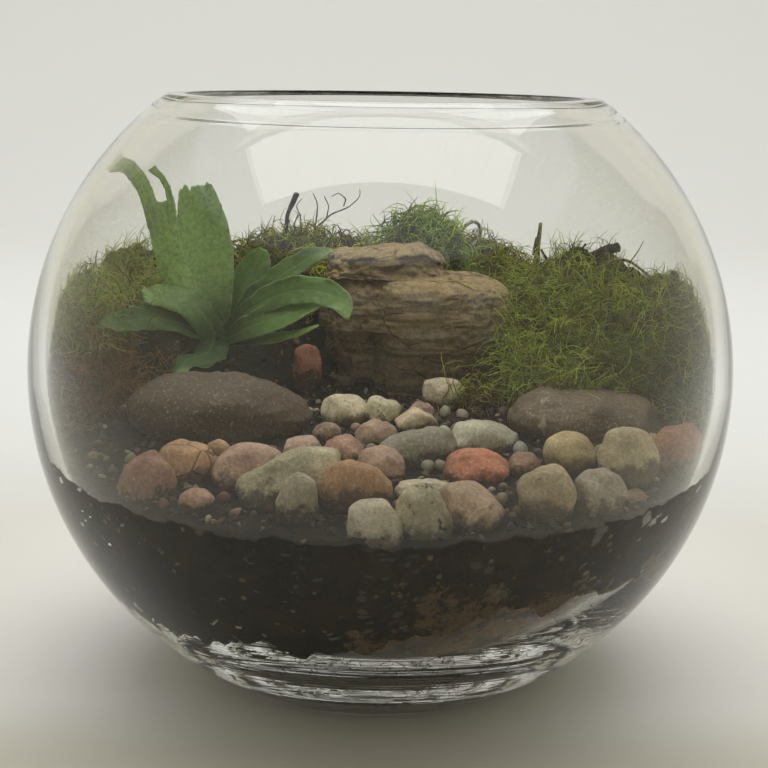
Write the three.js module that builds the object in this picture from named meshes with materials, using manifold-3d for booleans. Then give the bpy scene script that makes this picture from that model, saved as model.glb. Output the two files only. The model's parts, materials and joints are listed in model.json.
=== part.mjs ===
// A planted glass bubble bowl: grit, soil, river stones, a block of sandstone, cushions of moss,
// one small strap-leaved plant and a few dead twigs, held by a thick clear bowl.
// Millimetres, +Z up, origin at the middle of the foot. The planting faces -Y.

import * as THREE from "three";
import { mergeVertices } from "three/addons/utils/BufferGeometryUtils.js";
import Module from "manifold-3d";

const wasm = await Module();
wasm.setup();

// The bowl. Its outside follows an ellipse, cut flat at the foot and at the rim.
const bowlRadius = 125;
const bowlHalfHeight = 122.8;
const bowlHeight = 207.8;
const footRadius = 55;
const wallThickness = 5.5; // at the widest height
const floorThickness = 11;
const floorFlatRadius = 18;
const rimInnerRadius = 62;
const cavityWidestHeight = 112;

// How finely round things are divided.
const bowlFacets = 40;
const outsideSteps = 13;
const cavityLowerSteps = 8;
const cavityUpperSteps = 6;
const terrainCells = 13;

// The planting.
const touchGap = 0.35; // left between pieces that touch
const soilAtFront = 82;
const soilAtMiddle = 95;
const soilBank = 32; // how far the soil rises again behind the sandstone
const soilSideBank = 22;
const plantMoundHeight = 12;
const plantMoundRadius = 17;
const gritLow = 42;
const gritHigh = 58;
const plantPlace = new THREE.Vector2(-60, 25);
const leafThickness = 1;

const { smoothstep, degToRad } = THREE.MathUtils;

// ---- Solids and meshes ----

function solidOf(geometry) {
  const bare = geometry.clone();
  bare.deleteAttribute("normal");
  bare.deleteAttribute("uv");
  const merged = mergeVertices(bare, 1e-4);
  return new wasm.Manifold(
    new wasm.Mesh({
      numProp: 3,
      vertProperties: merged.attributes.position.array,
      triVerts: new Uint32Array(merged.index.array),
    }),
  );
}

function geometryOf(solid) {
  const mesh = solid.getMesh();
  const geometry = new THREE.BufferGeometry();
  geometry.setAttribute("position", new THREE.BufferAttribute(mesh.vertProperties, 3));
  geometry.setIndex(new THREE.BufferAttribute(mesh.triVerts, 1));
  geometry.computeVertexNormals();
  return geometry;
}

function meshOf(name, geometry, colour, roughness = 0.9) {
  const material = new THREE.MeshStandardMaterial({ color: colour, roughness, metalness: 0 });
  const mesh = new THREE.Mesh(geometry, material);
  mesh.name = name;
  return mesh;
}

// The solid of a placed mesh, in the frame of the whole object.
function placedSolid(mesh, geometry = mesh.geometry) {
  mesh.updateMatrix();
  return solidOf(geometry.clone().applyMatrix4(mesh.matrix));
}

// Moves every vertex of a geometry by a function of its place.
function reshape(geometry, move) {
  const position = geometry.attributes.position;
  const point = new THREE.Vector3();
  for (let i = 0; i < position.count; i++) {
    move(point.fromBufferAttribute(position, i));
    position.setXYZ(i, point.x, point.y, point.z);
  }
  return geometry;
}

// ---- Bowl ----

const bowlCentre = bowlHalfHeight * Math.sqrt(1 - (footRadius / bowlRadius) ** 2);
const cavityRadius = bowlRadius - wallThickness;
const cavityDepth = cavityWidestHeight - floorThickness;
const cavityRise =
  (bowlHeight - cavityWidestHeight) / Math.sqrt(1 - (rimInnerRadius / cavityRadius) ** 2);

function ellipsePoint(centre, radii, angle) {
  return new THREE.Vector2(
    centre.x + radii.x * Math.cos(angle),
    centre.y + radii.y * Math.sin(angle),
  );
}

function ellipseRun(centre, radii, from, to, steps) {
  const points = [];
  for (let i = 0; i <= steps; i++) {
    points.push(ellipsePoint(centre, radii, from + ((to - from) * i) / steps));
  }
  return points;
}

function outsideOutline() {
  const centre = new THREE.Vector2(0, bowlCentre);
  const radii = new THREE.Vector2(bowlRadius, bowlHalfHeight);
  const footAngle = -Math.acos(footRadius / bowlRadius);
  const rimAngle = Math.asin((bowlHeight - bowlCentre) / bowlHalfHeight);
  return ellipseRun(centre, radii, footAngle, rimAngle, outsideSteps);
}

// From the edge of the flat floor up to the rim, a given distance inside the glass.
function cavityOutline(inset) {
  const lowerCentre = new THREE.Vector2(floorFlatRadius, cavityWidestHeight);
  const lowerRadii = new THREE.Vector2(cavityRadius - floorFlatRadius - inset, cavityDepth - inset);
  const lower = ellipseRun(lowerCentre, lowerRadii, -Math.PI / 2, 0, cavityLowerSteps);
  const upperCentre = new THREE.Vector2(0, cavityWidestHeight);
  const upperRadii = new THREE.Vector2(cavityRadius - inset, cavityRise - inset);
  const rimAngle = Math.asin((bowlHeight - cavityWidestHeight) / cavityRise);
  const upper = ellipseRun(upperCentre, upperRadii, 0, rimAngle, cavityUpperSteps);
  return [...lower, ...upper.slice(1)];
}

function turned(points) {
  return new THREE.LatheGeometry(points, bowlFacets).rotateX(Math.PI / 2);
}

function bowlGeometry() {
  const foot = new THREE.Vector2(0, 0);
  const floorMiddle = new THREE.Vector2(0, floorThickness);
  return turned([foot, ...outsideOutline(), ...cavityOutline(0).reverse(), floorMiddle]);
}

// The room that the bowl leaves for its contents.
function roomSolid(inset) {
  const outline = cavityOutline(inset);
  const bottom = new THREE.Vector2(0, outline[0].y);
  const top = new THREE.Vector2(0, outline[outline.length - 1].y);
  return solidOf(turned([bottom, ...outline, top]));
}

const room = roomSolid(touchGap);

// ---- Soil and grit ----

function soilHeight(x, y) {
  const slope = (soilAtMiddle - soilAtFront) * smoothstep(y, -118, 5);
  const bank = soilBank * smoothstep(y, 12, 78);
  const sides = soilSideBank * smoothstep(Math.abs(x), 50, 108) * smoothstep(y, -5, 50);
  const fromPlant = Math.hypot(x - plantPlace.x, y - plantPlace.y);
  const mound = plantMoundHeight * Math.exp(-((fromPlant / plantMoundRadius) ** 2));
  return soilAtFront + slope + bank + sides + mound;
}

function gritHeight(x) {
  return gritLow + (gritHigh - gritLow) * smoothstep(x, -30, 60);
}

// A block whose top follows a height over the ground plane and whose bottom lies below the bowl.
function blockUnder(heightAt, raise = 0) {
  const span = 2 * bowlRadius;
  const box = new THREE.BoxGeometry(span, span, 1, terrainCells, terrainCells, 1);
  reshape(box, (point) => {
    point.z = point.z > 0 ? heightAt(point.x, point.y) + raise : -bowlHeight;
  });
  return solidOf(box);
}

// ---- Stones ----

// A rounded stone: square 2 is an ellipsoid, higher is blockier; taper narrows it towards +X.
function stoneGeometry(stone, grow = 0) {
  const { size, square = 2.3, taper = 0, sides = 9, rings = 6, turn = 0 } = stone;
  const lumps = 0.05;
  const ball = new THREE.SphereGeometry(1, sides, rings);
  return reshape(ball, (point) => {
    const { x, y, z } = point;
    const spread =
      Math.abs(x) ** square + Math.abs(y) ** square + Math.abs(z) ** square;
    const lump = 1 + lumps * Math.sin(3 * x + 2 * y + turn) * Math.cos(2 * z + y);
    point.multiplyScalar(lump / spread ** (1 / square));
    const narrowing = 1 - taper * (0.5 + 0.5 * point.x);
    point.x *= size[0] / 2 + grow;
    point.y *= (size[1] / 2) * narrowing + grow;
    point.z *= (size[2] / 2) * narrowing + grow;
  });
}

// Sinks a share of the stone's height in the soil, slides it off the glass, and raises it
// until it clears the stones laid before it.
function layStone(stone, laid) {
  const { name, at, turn = 0, tip = 0, lean = 0, sink = 0.25, colour } = stone;
  const slide = 0.5;
  const rise = 0.25;
  const mesh = meshOf(name, stoneGeometry(stone), colour, 0.75);
  mesh.rotation.set(degToRad(lean), degToRad(tip), degToRad(turn), "ZYX");
  mesh.position.set(at[0], at[1], 0);
  const reach = stoneGeometry(stone, touchGap);
  const bounds = new THREE.Box3().setFromObject(mesh);
  const below = -bounds.min.z - sink * (bounds.max.z - bounds.min.z);
  mesh.position.z = soilHeight(at[0], at[1]) + below;
  while (!placedSolid(mesh, reach).subtract(room).isEmpty()) {
    const fromAxis = Math.hypot(mesh.position.x, mesh.position.y);
    mesh.position.x *= 1 - slide / fromAxis;
    mesh.position.y *= 1 - slide / fromAxis;
  }
  while (!placedSolid(mesh, reach).intersect(laid.solid).isEmpty()) {
    mesh.position.z += rise;
  }
  laid.solid = laid.solid.add(placedSolid(mesh));
  laid.reach = laid.reach.add(placedSolid(mesh, reach));
  return mesh;
}

// One bed of the sandstone: an uneven slab with cut corners, thicker or thinner, wider or narrower.
function sandstoneBed({ from, to, left, right, front, back, skew }, grow = 0) {
  const corner = 5;
  const [x0, x1, y0, y1] = [left - grow, right + grow, front - grow, back + grow];
  const outline = new THREE.Shape();
  outline.moveTo(x0 + corner, y0);
  outline.lineTo((x0 + x1) / 2, y0 - skew);
  outline.lineTo(x1 - corner, y0 + skew);
  outline.lineTo(x1, y0 + 2 * corner);
  outline.lineTo(x1 - skew, y1 - corner);
  outline.lineTo(x1 - 2 * corner, y1);
  outline.lineTo(x0 + 2 * corner, y1 + skew);
  outline.lineTo(x0, y1 - corner);
  outline.lineTo(x0 + skew, (y0 + y1) / 2);
  const depth = to - from + 2 * grow;
  const slab = new THREE.ExtrudeGeometry(outline, { depth, bevelEnabled: false });
  return solidOf(slab.translate(0, 0, from - grow));
}

const sandstoneBeds = [
  { from: 92, to: 108, left: -20, right: 42, front: 11, back: 40, skew: 2 },
  { from: 107, to: 123, left: -23, right: 47, front: 7, back: 44, skew: 3 },
  { from: 122, to: 138, left: -24, right: 50, front: 8, back: 46, skew: 2 },
  { from: 137, to: 151, left: -20, right: 24, front: 20, back: 47, skew: 2 },
];

function sandstoneSolid(grow = 0) {
  return sandstoneBeds
    .map((bed) => sandstoneBed(bed, grow))
    .reduce((whole, bed) => whole.add(bed));
}

const bigStones = [
  { name: "cobble_left", at: [-56, -28], size: [64, 38, 26], turn: 4, tip: 3, sink: 0.28,
    square: 2.2, sides: 14, rings: 9, colour: 0x4b4a48 },
  { name: "cobble_right", at: [73, -25], size: [54, 36, 22], turn: -8, tip: 2, sink: 0.35,
    square: 2.2, sides: 14, rings: 9, colour: 0x4e4a48 },
  { name: "slate_stone", at: [-86, 13], size: [28, 10, 28], turn: -20, lean: -14, sink: 0.25,
    square: 3.5, colour: 0x3a3f42 },
];

// Laid in this order: those at the sandstone first, those against the front glass last.
const pebbles = [
  { name: "pebble_red_upright", at: [-28, 18], size: [10, 8, 19], tip: 6, square: 2.6, sink: 0.1,
    colour: 0x7a4a40 },
  { name: "pebble_grey_cream", at: [23, 2], size: [15, 11, 11], turn: 12, sink: 0.1, colour: 0xa09a84 },
  { name: "pebble_mauve_dark", at: [15, -13], size: [8.5, 7, 7.5], colour: 0x6b5353 },
  { name: "pebble_cream_round", at: [-13, -17], size: [16.5, 13, 12.5], turn: -10, colour: 0xb9b394 },
  { name: "pebble_green_oval", at: [1, -19], size: [12.5, 11, 11], turn: 30, tip: 20, colour: 0x8f8f77 },
  { name: "pebble_tan_pointed", at: [13, -26], size: [13.5, 11, 11], taper: 0.4, tip: 10, colour: 0xb0a184 },
  { name: "pebble_brown_small", at: [-18, -33], size: [9, 8, 7], colour: 0x6f5f4f },
  { name: "pebble_striped", at: [-1, -36], size: [13, 12, 9], turn: -15, colour: 0x746557 },
  { name: "pebble_green_big", at: [34.5, -42], size: [24, 17, 15], taper: 0.35, turn: 15, square: 2.6,
    colour: 0x8b9080 },
  { name: "pebble_pink_grey", at: [-26, -51], size: [14, 11, 10], turn: 20, colour: 0x8a7568 },
  { name: "pebble_pink_brown", at: [-12, -50], size: [13, 12, 10], turn: -12, square: 2.8, colour: 0x8b6b5c },
  { name: "pebble_green_long", at: [12, -54], size: [26, 13, 12], turn: 8, tip: -16, colour: 0x5b6259 },
  { name: "pebble_yellow_round", at: [62, -57], size: [16, 14, 15], sink: 0.15, colour: 0xc4b184 },
  { name: "pebble_brown_flat", at: [47, -60], size: [11, 10, 9], turn: 10, colour: 0x75594a },
  { name: "pebble_brown_streak", at: [1, -67], size: [14.5, 13, 12.5], turn: -25, sink: 0.15,
    colour: 0x84695a },
  { name: "pebble_red_block", at: [31.5, -62], size: [19, 14, 12], square: 3.4, turn: 4, sink: 0.35,
    colour: 0x8a4f3a },
  { name: "pebble_dark_small", at: [75.5, -51], size: [8.5, 8, 9], colour: 0x5f6360 },
  { name: "pebble_small_tan", at: [-53, -53], size: [7, 7, 7], sink: 0, colour: 0xa88a6c },
  { name: "pebble_orange_round", at: [-61, -67], size: [17.5, 15, 16.5], turn: 10, colour: 0xb08767 },
  { name: "pebble_pink_flat", at: [-41, -70], size: [22.5, 15, 14], turn: 10, tip: -8, square: 2.6,
    colour: 0xa98a76 },
  { name: "pebble_long_cream", at: [-27, -81], size: [33, 13, 15], turn: 20, tip: -18, square: 2.6,
    colour: 0xa7a184 },
  { name: "pebble_orange", at: [-7, -90], size: [21, 13, 17], turn: -12, taper: 0.25, square: 2.6,
    sink: 0, colour: 0xa97f5d },
  { name: "pebble_pale_flat", at: [16, -78], size: [20, 12, 7], turn: 6, colour: 0xa5a08a },
  { name: "pebble_brown_red", at: [101, -49], size: [30, 11, 17], turn: 62, square: 2.6, colour: 0x7c4d3b },
  { name: "pebble_brown_low", at: [86, -78], size: [13, 8, 11], turn: 46, sink: 0.8, colour: 0x7c6858 },
  { name: "pebble_cream_tall", at: [79, -67], size: [16.5, 12, 18], square: 3.2, tip: 6, colour: 0xc2b592 },
  { name: "pebble_mauve", at: [-71, -80], size: [16, 14, 19], turn: 40, colour: 0x7b5650 },
  { name: "pebble_brown_ring", at: [-55, -90], size: [10, 8, 7.5], turn: 20, sink: 0.1, colour: 0x7e5f50 },
  { name: "pebble_grey_upright", at: [-24, -95], size: [12, 11, 17], tip: 8, colour: 0x98957f },
  { name: "pebble_pinkish_cream", at: [27, -96], size: [19, 14, 14.5], turn: -20, tip: 15, sink: 0.3,
    colour: 0xb89f86 },
  { name: "pebble_cream_block", at: [51, -89], size: [15.5, 13, 18], square: 3.2, turn: 12, sink: 0.2,
    colour: 0xbcab8b },
  { name: "pebble_white_grey", at: [67.5, -83], size: [15, 12, 16], turn: 40, square: 2.6, sink: 0.3,
    colour: 0xa8a190 },
  { name: "pebble_speckled", at: [-1.5, -108], size: [16.5, 12, 15], square: 2.6, turn: -8, sink: 0.35,
    colour: 0xb3ae98 },
  { name: "pebble_spotted_oval", at: [13.5, -106], size: [13.5, 10, 20], tip: -26, sink: 0.35,
    colour: 0xa6a287 },
];

// ---- Moss ----

// Lobes joined, kept inside the glass, and cut clear of the soil and of what stands in the moss.
function mossSolid(lobes, clear, grow = 0) {
  const lobeSides = 12;
  const lobeRings = 8;
  const lobe = ({ at, size }) => {
    const ball = new THREE.SphereGeometry(1, lobeSides, lobeRings);
    ball.scale(size[0] / 2 + grow, size[1] / 2 + grow, size[2] / 2 + grow);
    return solidOf(ball.translate(...at));
  };
  const whole = lobes.map(lobe).reduce((sum, part) => sum.add(part));
  return whole.intersect(room).subtract(clear);
}

const mossCushions = [
  { name: "moss_left", colour: 0x6f7a35, lobes: [
    { at: [-107, 16, 112], size: [34, 68, 62] },
    { at: [-94, 48, 124], size: [50, 44, 48] },
    { at: [-110, -8, 98], size: [22, 56, 44] },
  ] },
  { name: "moss_right", colour: 0x4f6a35, lobes: [
    { at: [92, 12, 112], size: [72, 62, 62] },
    { at: [70, 46, 122], size: [64, 46, 50] },
    { at: [62, 6, 104], size: [34, 48, 40] },
    { at: [108, -8, 102], size: [26, 44, 38] },
  ] },
  { name: "moss_back", colour: 0x55703a, lobes: [
    { at: [-30, 78, 124], size: [92, 44, 56] },
    { at: [26, 82, 124], size: [84, 42, 54] },
  ] },
  { name: "moss_tuft", colour: 0x668444, lobes: [{ at: [16, 57, 142], size: [32, 22, 38] }] },
];

// ---- Plant ----

function crownGeometry(grow = 0) {
  const sides = 10;
  const outline = [
    new THREE.Vector2(0, -6 - grow),
    new THREE.Vector2(5 + grow, -5 - grow),
    new THREE.Vector2(7 + grow, 0),
    new THREE.Vector2(6 + grow, 7),
    new THREE.Vector2(3 + grow, 11 + grow),
    new THREE.Vector2(0, 12 + grow),
  ];
  return new THREE.LatheGeometry(outline, sides).rotateX(Math.PI / 2);
}

// A strap that follows a curve: folded along its middle rib, narrow at the base, pointed at the tip.
function leafGeometry({ path, width, across = [1, 0, 0], fold = 0.25, widest = 0.5 }) {
  const curve = new THREE.CatmullRomCurve3(path.map((point) => new THREE.Vector3(...point)));
  const lengthSteps = 7;
  const baseWidth = 3;
  const tipWidth = 1;
  const strap = new THREE.BoxGeometry(1, 1, 1, 2, lengthSteps, 1);
  const side = new THREE.Vector3();
  const face = new THREE.Vector3();
  return reshape(strap, (point) => {
    const along = point.y + 0.5;
    const fromRib = 2 * point.x;
    const spine = curve.getPointAt(along);
    const tangent = curve.getTangentAt(along);
    side.set(...across);
    side.addScaledVector(tangent, -tangent.dot(side)).normalize();
    face.crossVectors(side, tangent);
    const swell = along < widest
      ? Math.sin((Math.PI / 2) * (along / widest))
      : Math.cos((Math.PI / 2) * ((along - widest) / (1 - widest)));
    const endWidth = along < widest ? baseWidth : tipWidth;
    const halfWidth = (endWidth + (width - endWidth) * swell) / 2;
    const lift = point.z * leafThickness + fold * halfWidth * Math.abs(fromRib);
    point.copy(spine).addScaledVector(side, fromRib * halfWidth).addScaledVector(face, lift);
  });
}

// Each path starts inside the crown, which trims it, and ends at the leaf's tip.
const leaves = [
  { name: "leaf_tall_left", width: 12, across: [0.9, -0.4, 0.1],
    path: [[-62, 24, 118], [-73, 16, 138], [-81, 11, 153], [-86, 6, 167], [-89, 2, 177], [-91, -4, 183]] },
  { name: "leaf_broad", width: 24, across: [1, 0.1, 0], widest: 0.6,
    path: [[-60, 27, 119], [-66, 34, 134], [-70, 37, 152], [-72, 36, 172]] },
  { name: "leaf_short_back", width: 14, across: [0.9, -0.3, 0], widest: 0.6,
    path: [[-58, 27, 117], [-52, 38, 132], [-45, 44, 147]] },
  { name: "leaf_upper_right", width: 8, across: [0.3, -0.6, -0.8],
    path: [[-57, 25, 117], [-44, 29, 134], [-32, 28, 144], [-19, 25, 150]] },
  { name: "leaf_big_right", width: 14, across: [0, -1, -0.5],
    path: [[-57, 24, 117], [-44, 14, 129], [-30, 8, 135], [-18, 3, 136], [-11, -1, 129]] },
  { name: "leaf_right_low", width: 10, across: [0.2, -0.5, -1],
    path: [[-58, 22, 113], [-46, 6, 121], [-34, 0, 126], [-24, -3, 131]] },
  { name: "leaf_right_small", width: 4, across: [0.2, -1, -0.5],
    path: [[-58, 21, 109], [-47, 1, 114], [-34, -6, 118], [-23, -10, 122]] },
  { name: "leaf_left_folded", width: 10, across: [0.3, 0.5, 1],
    path: [[-62, 25, 113], [-75, 23, 126], [-83, 20, 134], [-89, 15, 135]] },
  { name: "leaf_left_long", width: 8, across: [0.2, 0.6, 1],
    path: [[-62, 23, 112], [-76, 7, 126], [-87, -2, 130], [-98, -10, 129]] },
  { name: "leaf_front", width: 12, across: [1, 0.3, 0.2], widest: 0.6,
    path: [[-60, 22, 111], [-62, 4, 119], [-65, -4, 114], [-69, -8, 104]] },
];

// ---- Twigs ----

function tubeGeometry({ path, radius }, grow = 0) {
  const sides = 6;
  const stepsPerSpan = 3;
  const points = path.map((point) => new THREE.Vector3(...point));
  const last = points.length - 1;
  const startShift = points[0].clone().sub(points[1]).setLength(grow);
  const endShift = points[last].clone().sub(points[last - 1]).setLength(grow);
  points[0].add(startShift);
  points[last].add(endShift);
  const curve = new THREE.CatmullRomCurve3(points);
  const section = new THREE.Shape();
  for (let i = 0; i < sides; i++) {
    const angle = (2 * Math.PI * i) / sides;
    const across = [(radius + grow) * Math.cos(angle), (radius + grow) * Math.sin(angle)];
    if (i === 0) section.moveTo(...across);
    else section.lineTo(...across);
  }
  const steps = stepsPerSpan * last;
  return new THREE.ExtrudeGeometry(section, { steps, extrudePath: curve, bevelEnabled: false });
}

const twigs = [
  { name: "twig_back", radius: 0.9, path: [[-41, 68, 140], [-39, 70, 152], [-35, 73, 165]] },
  { name: "twig_knobbly", radius: 2, path: [[64, 54, 137], [75, 53, 144], [84, 51, 147], [92, 46, 149]] },
  { name: "twig_stub", radius: 1.5, path: [[100, 18, 132], [104, 20, 140], [105, 20, 146]] },
  { name: "stem_arch", radius: 1.1,
    path: [[96, 2, 130], [100, -1, 139], [108, -6, 136], [112, -14, 124], [112, -22, 110]] },
];

// ---- The whole ----

const terrarium = new THREE.Group();
terrarium.name = "glass_plant_terrarium";

const bowl = meshOf("glass_bowl", bowlGeometry(), 0xe9f1ee, 0.02);
bowl.material.transparent = true;
bowl.material.opacity = 0.25;
terrarium.add(bowl);

const stoneGroup = new THREE.Group();
const laid = { solid: sandstoneSolid(), reach: sandstoneSolid(touchGap) };
stoneGroup.add(meshOf("sandstone_block", geometryOf(laid.solid), 0x9c8362));
for (const stone of [...bigStones, ...pebbles]) {
  stoneGroup.add(layStone(stone, laid));
}
terrarium.add(stoneGroup);

const crown = meshOf("plant_crown", crownGeometry(), 0x6d7f45, 0.7);
crown.position.set(plantPlace.x, plantPlace.y, soilHeight(plantPlace.x, plantPlace.y));
const plant = new THREE.Group();
plant.add(crown);
const crownReach = placedSolid(crown, crownGeometry(touchGap));
for (const leaf of leaves) {
  const blade = solidOf(leafGeometry(leaf)).subtract(crownReach);
  plant.add(meshOf(leaf.name, geometryOf(blade), 0x4f7a45, 0.45));
}
terrarium.add(plant);

const twigGroup = new THREE.Group();
for (const twig of twigs) {
  twigGroup.add(meshOf(twig.name, tubeGeometry(twig), 0x4a3a2b));
}
terrarium.add(twigGroup);

const grit = room.intersect(blockUnder(gritHeight));
const soil = room
  .intersect(blockUnder(soilHeight))
  .subtract(blockUnder(gritHeight, touchGap))
  .subtract(laid.reach)
  .subtract(crownReach);
terrarium.add(meshOf("drainage_grit", geometryOf(grit), 0x8a6f50, 1));
terrarium.add(meshOf("potting_soil", geometryOf(soil), 0x2b2724, 1));

const moss = new THREE.Group();
let clear = blockUnder(soilHeight, touchGap).add(laid.reach).add(crownReach);
for (const twig of twigs) {
  clear = clear.add(solidOf(tubeGeometry(twig, touchGap)));
}
for (const cushion of mossCushions) {
  moss.add(meshOf(cushion.name, geometryOf(mossSolid(cushion.lobes, clear)), cushion.colour, 1));
  clear = clear.add(mossSolid(cushion.lobes, clear, touchGap));
}
terrarium.add(moss);

export default terrarium;
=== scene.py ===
import json
import math
import random

import bpy
import numpy as np
from mathutils import Matrix, Vector, noise
from mathutils.bvhtree import BVHTree


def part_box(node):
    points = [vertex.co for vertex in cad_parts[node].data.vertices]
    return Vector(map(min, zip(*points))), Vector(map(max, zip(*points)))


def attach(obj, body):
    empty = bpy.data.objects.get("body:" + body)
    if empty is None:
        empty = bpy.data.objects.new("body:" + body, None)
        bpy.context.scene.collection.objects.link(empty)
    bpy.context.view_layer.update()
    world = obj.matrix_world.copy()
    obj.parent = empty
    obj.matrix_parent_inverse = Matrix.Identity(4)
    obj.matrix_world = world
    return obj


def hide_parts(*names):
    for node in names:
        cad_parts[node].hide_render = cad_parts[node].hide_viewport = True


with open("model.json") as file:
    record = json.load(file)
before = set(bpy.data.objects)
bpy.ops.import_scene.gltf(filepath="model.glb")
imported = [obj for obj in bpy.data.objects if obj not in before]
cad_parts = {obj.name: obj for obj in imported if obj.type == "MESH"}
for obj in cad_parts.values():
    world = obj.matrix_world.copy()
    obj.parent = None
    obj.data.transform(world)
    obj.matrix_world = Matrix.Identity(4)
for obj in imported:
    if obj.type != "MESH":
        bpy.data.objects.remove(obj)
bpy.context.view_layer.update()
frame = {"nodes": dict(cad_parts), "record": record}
mm = 0.001
print("frame loaded:", len(frame["nodes"]), "nodes")

# tilt and roll are degrees, shift a share of the frame's width
view = {"distance": 534, "height": 220.8, "tilt": 12.28, "roll": 0.9, "lens": 70.3125, "shift": 0.0052083}

lens = bpy.data.cameras.new("viewLens")
lens.sensor_width = 36
lens.lens = view["lens"]
lens.shift_x = view["shift"]
lens.clip_start = 0.01
camera = bpy.data.objects.new("viewCamera", lens)
bpy.context.scene.collection.objects.link(camera)
camera.location = (0, -view["distance"] * mm, view["height"] * mm)
tilt = Matrix.Rotation(math.radians(90 - view["tilt"]), 4, "X")
roll = Matrix.Rotation(math.radians(view["roll"]), 4, "Z")
camera.rotation_euler = (tilt @ roll).to_euler()
bpy.context.scene.camera = camera
print("camera placed")


def meshObject(name, points, faces, smooth=True):
    mesh = bpy.data.meshes.new(name)
    mesh.from_pydata(np.asarray(points, float).tolist(), [], [tuple(f) for f in faces])
    mesh.update()
    if smooth:
        mesh.shade_smooth()
    else:
        mesh.shade_flat()
    shape = bpy.data.objects.new(name, mesh)
    bpy.context.scene.collection.objects.link(shape)
    return shape


def addPiece(name, points, faces, material, slot, nodes=(), smooth=True):
    piece = meshObject(name, points, faces, smooth)
    piece.data.materials.append(material)
    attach(piece, "root")
    if nodes:
        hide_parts(*nodes)
    return piece


# Several (points, faces) as one.
def joinedParts(parts):
    points, faces, start = [], [], 0
    for some, quads in parts:
        points.append(np.asarray(some, float))
        faces.extend(tuple(int(v) + start for v in face) for face in quads)
        start += len(some)
    return np.concatenate(points), faces


# Faces of a sheet of rows by columns, with its last column joined to the first if closed.
def sheetFaces(rows, columns, closed=True):
    faces = []
    for i in range(rows - 1):
        for j in range(columns if closed else columns - 1):
            k = (j + 1) % columns
            faces.append((i * columns + j, i * columns + k, (i + 1) * columns + k, (i + 1) * columns + j))
    return faces


# A ball of six square sheets, as directions and quads.
def cubeBall(steps):
    found, corners, faces = {}, [], []
    for axis in range(3):
        for side in (0, steps):
            for i in range(steps):
                for j in range(steps):
                    quad = []
                    for a, b in ((0, 0), (1, 0), (1, 1), (0, 1)):
                        at = [0, 0, 0]
                        at[axis], at[(axis + 1) % 3], at[(axis + 2) % 3] = side, i + a, j + b
                        key = tuple(at)
                        if key not in found:
                            found[key] = len(corners)
                            corners.append(key)
                        quad.append(found[key])
                    faces.append(tuple(quad) if side else tuple(reversed(quad)))
    spots = np.tan((np.array(corners, float) / steps * 2 - 1) * math.pi / 4)
    return spots / np.linalg.norm(spots, axis=1)[:, None], faces


def softened(points, faces, rounds, share=0.5):
    pairs = {(f[i], f[(i + 1) % len(f)]) for f in faces for i in range(len(f))}
    pairs |= {(b, a) for a, b in pairs}
    a, b = np.array(sorted(pairs)).T
    count = np.bincount(a, minlength=len(points))[:, None]
    for _ in range(rounds):
        sums = np.zeros_like(points)
        np.add.at(sums, a, points[b])
        points = points + share * (sums / count - points)
    return points


# Fractal noise at each point, about -1 to 1; size is the width of its lumps in metres.
def roughness(points, size, seed=0, octaves=3):
    shift = Vector((seed * 7.31, seed * 3.17, seed * 5.53))
    return np.array([noise.fractal(Vector(p) / size + shift, 1, 2, octaves) for p in points])


def paint(code):
    parts = [(code >> 16 & 255) / 255, (code >> 8 & 255) / 255, (code & 255) / 255]
    return (*[c / 12.92 if c <= 0.04045 else ((c + 0.055) / 1.055) ** 2.4 for c in parts], 1)


def plug(tree, socket, value):
    if isinstance(value, bpy.types.NodeSocket):
        tree.links.new(value, socket)
    else:
        socket.default_value = value


def addNode(tree, kind, inputs=None, **settings):
    node = tree.nodes.new("ShaderNode" + kind)
    for key, value in settings.items():
        setattr(node, key, value)
    for key, value in (inputs or {}).items():
        plug(tree, node.inputs[key], value)
    return node


def mixed(tree, share, first, second, blend="MIX"):
    node = tree.nodes.new("ShaderNodeMix")
    node.data_type = "RGBA"
    node.blend_type = blend
    plug(tree, node.inputs[0], share)
    plug(tree, node.inputs[6], first)
    plug(tree, node.inputs[7], second)
    return node.outputs[2]


def maths(tree, operation, first, second=0):
    node = tree.nodes.new("ShaderNodeMath")
    node.operation = operation
    plug(tree, node.inputs[0], first)
    plug(tree, node.inputs[1], second)
    return node.outputs[0]


def plus(tree, first, second):
    return maths(tree, "ADD", first, second)


def times(tree, first, second):
    return maths(tree, "MULTIPLY", first, second)


# A colour laid over another where a mask is, as strongly as asked.
def overlaid(tree, colour, mask, strength, over):
    return mixed(tree, times(tree, mask, strength), colour, over)


# Rises smoothly from 0 at low to 1 at high, or falls where low is the higher of the two.
def stepped(tree, value, low, high):
    node = addNode(tree, "MapRange", {"Value": value, "From Min": low, "From Max": high})
    node.interpolation_type = "SMOOTHSTEP"
    return node.outputs[0]


def alongAxis(tree, vector, axis):
    return addNode(tree, "SeparateXYZ", {"Vector": vector}).outputs[axis]


def noiseAt(tree, spot, scale, detail=4, rough=0.6, distortion=0):
    settings = {"Vector": spot, "Scale": scale, "Detail": detail, "Roughness": rough}
    return addNode(tree, "TexNoise", {**settings, "Distortion": distortion}).outputs["Fac"]


def bandsAt(tree, spot, scale, distortion, detail):
    inputs = {"Vector": spot, "Scale": scale, "Distortion": distortion, "Detail": detail}
    return addNode(tree, "TexWave", inputs, bands_direction="Z").outputs["Fac"]


# The distance to the nearest edge of a net of cracks.
def netAt(tree, spot, scale):
    inputs = {"Vector": spot, "Scale": scale}
    return addNode(tree, "TexVoronoi", inputs, feature="DISTANCE_TO_EDGE").outputs["Distance"]


def bumped(tree, shader, height, strength, depth):
    inputs = {"Height": height, "Strength": strength, "Distance": depth}
    tree.links.new(addNode(tree, "Bump", inputs).outputs[0], shader.inputs["Normal"])


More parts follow.
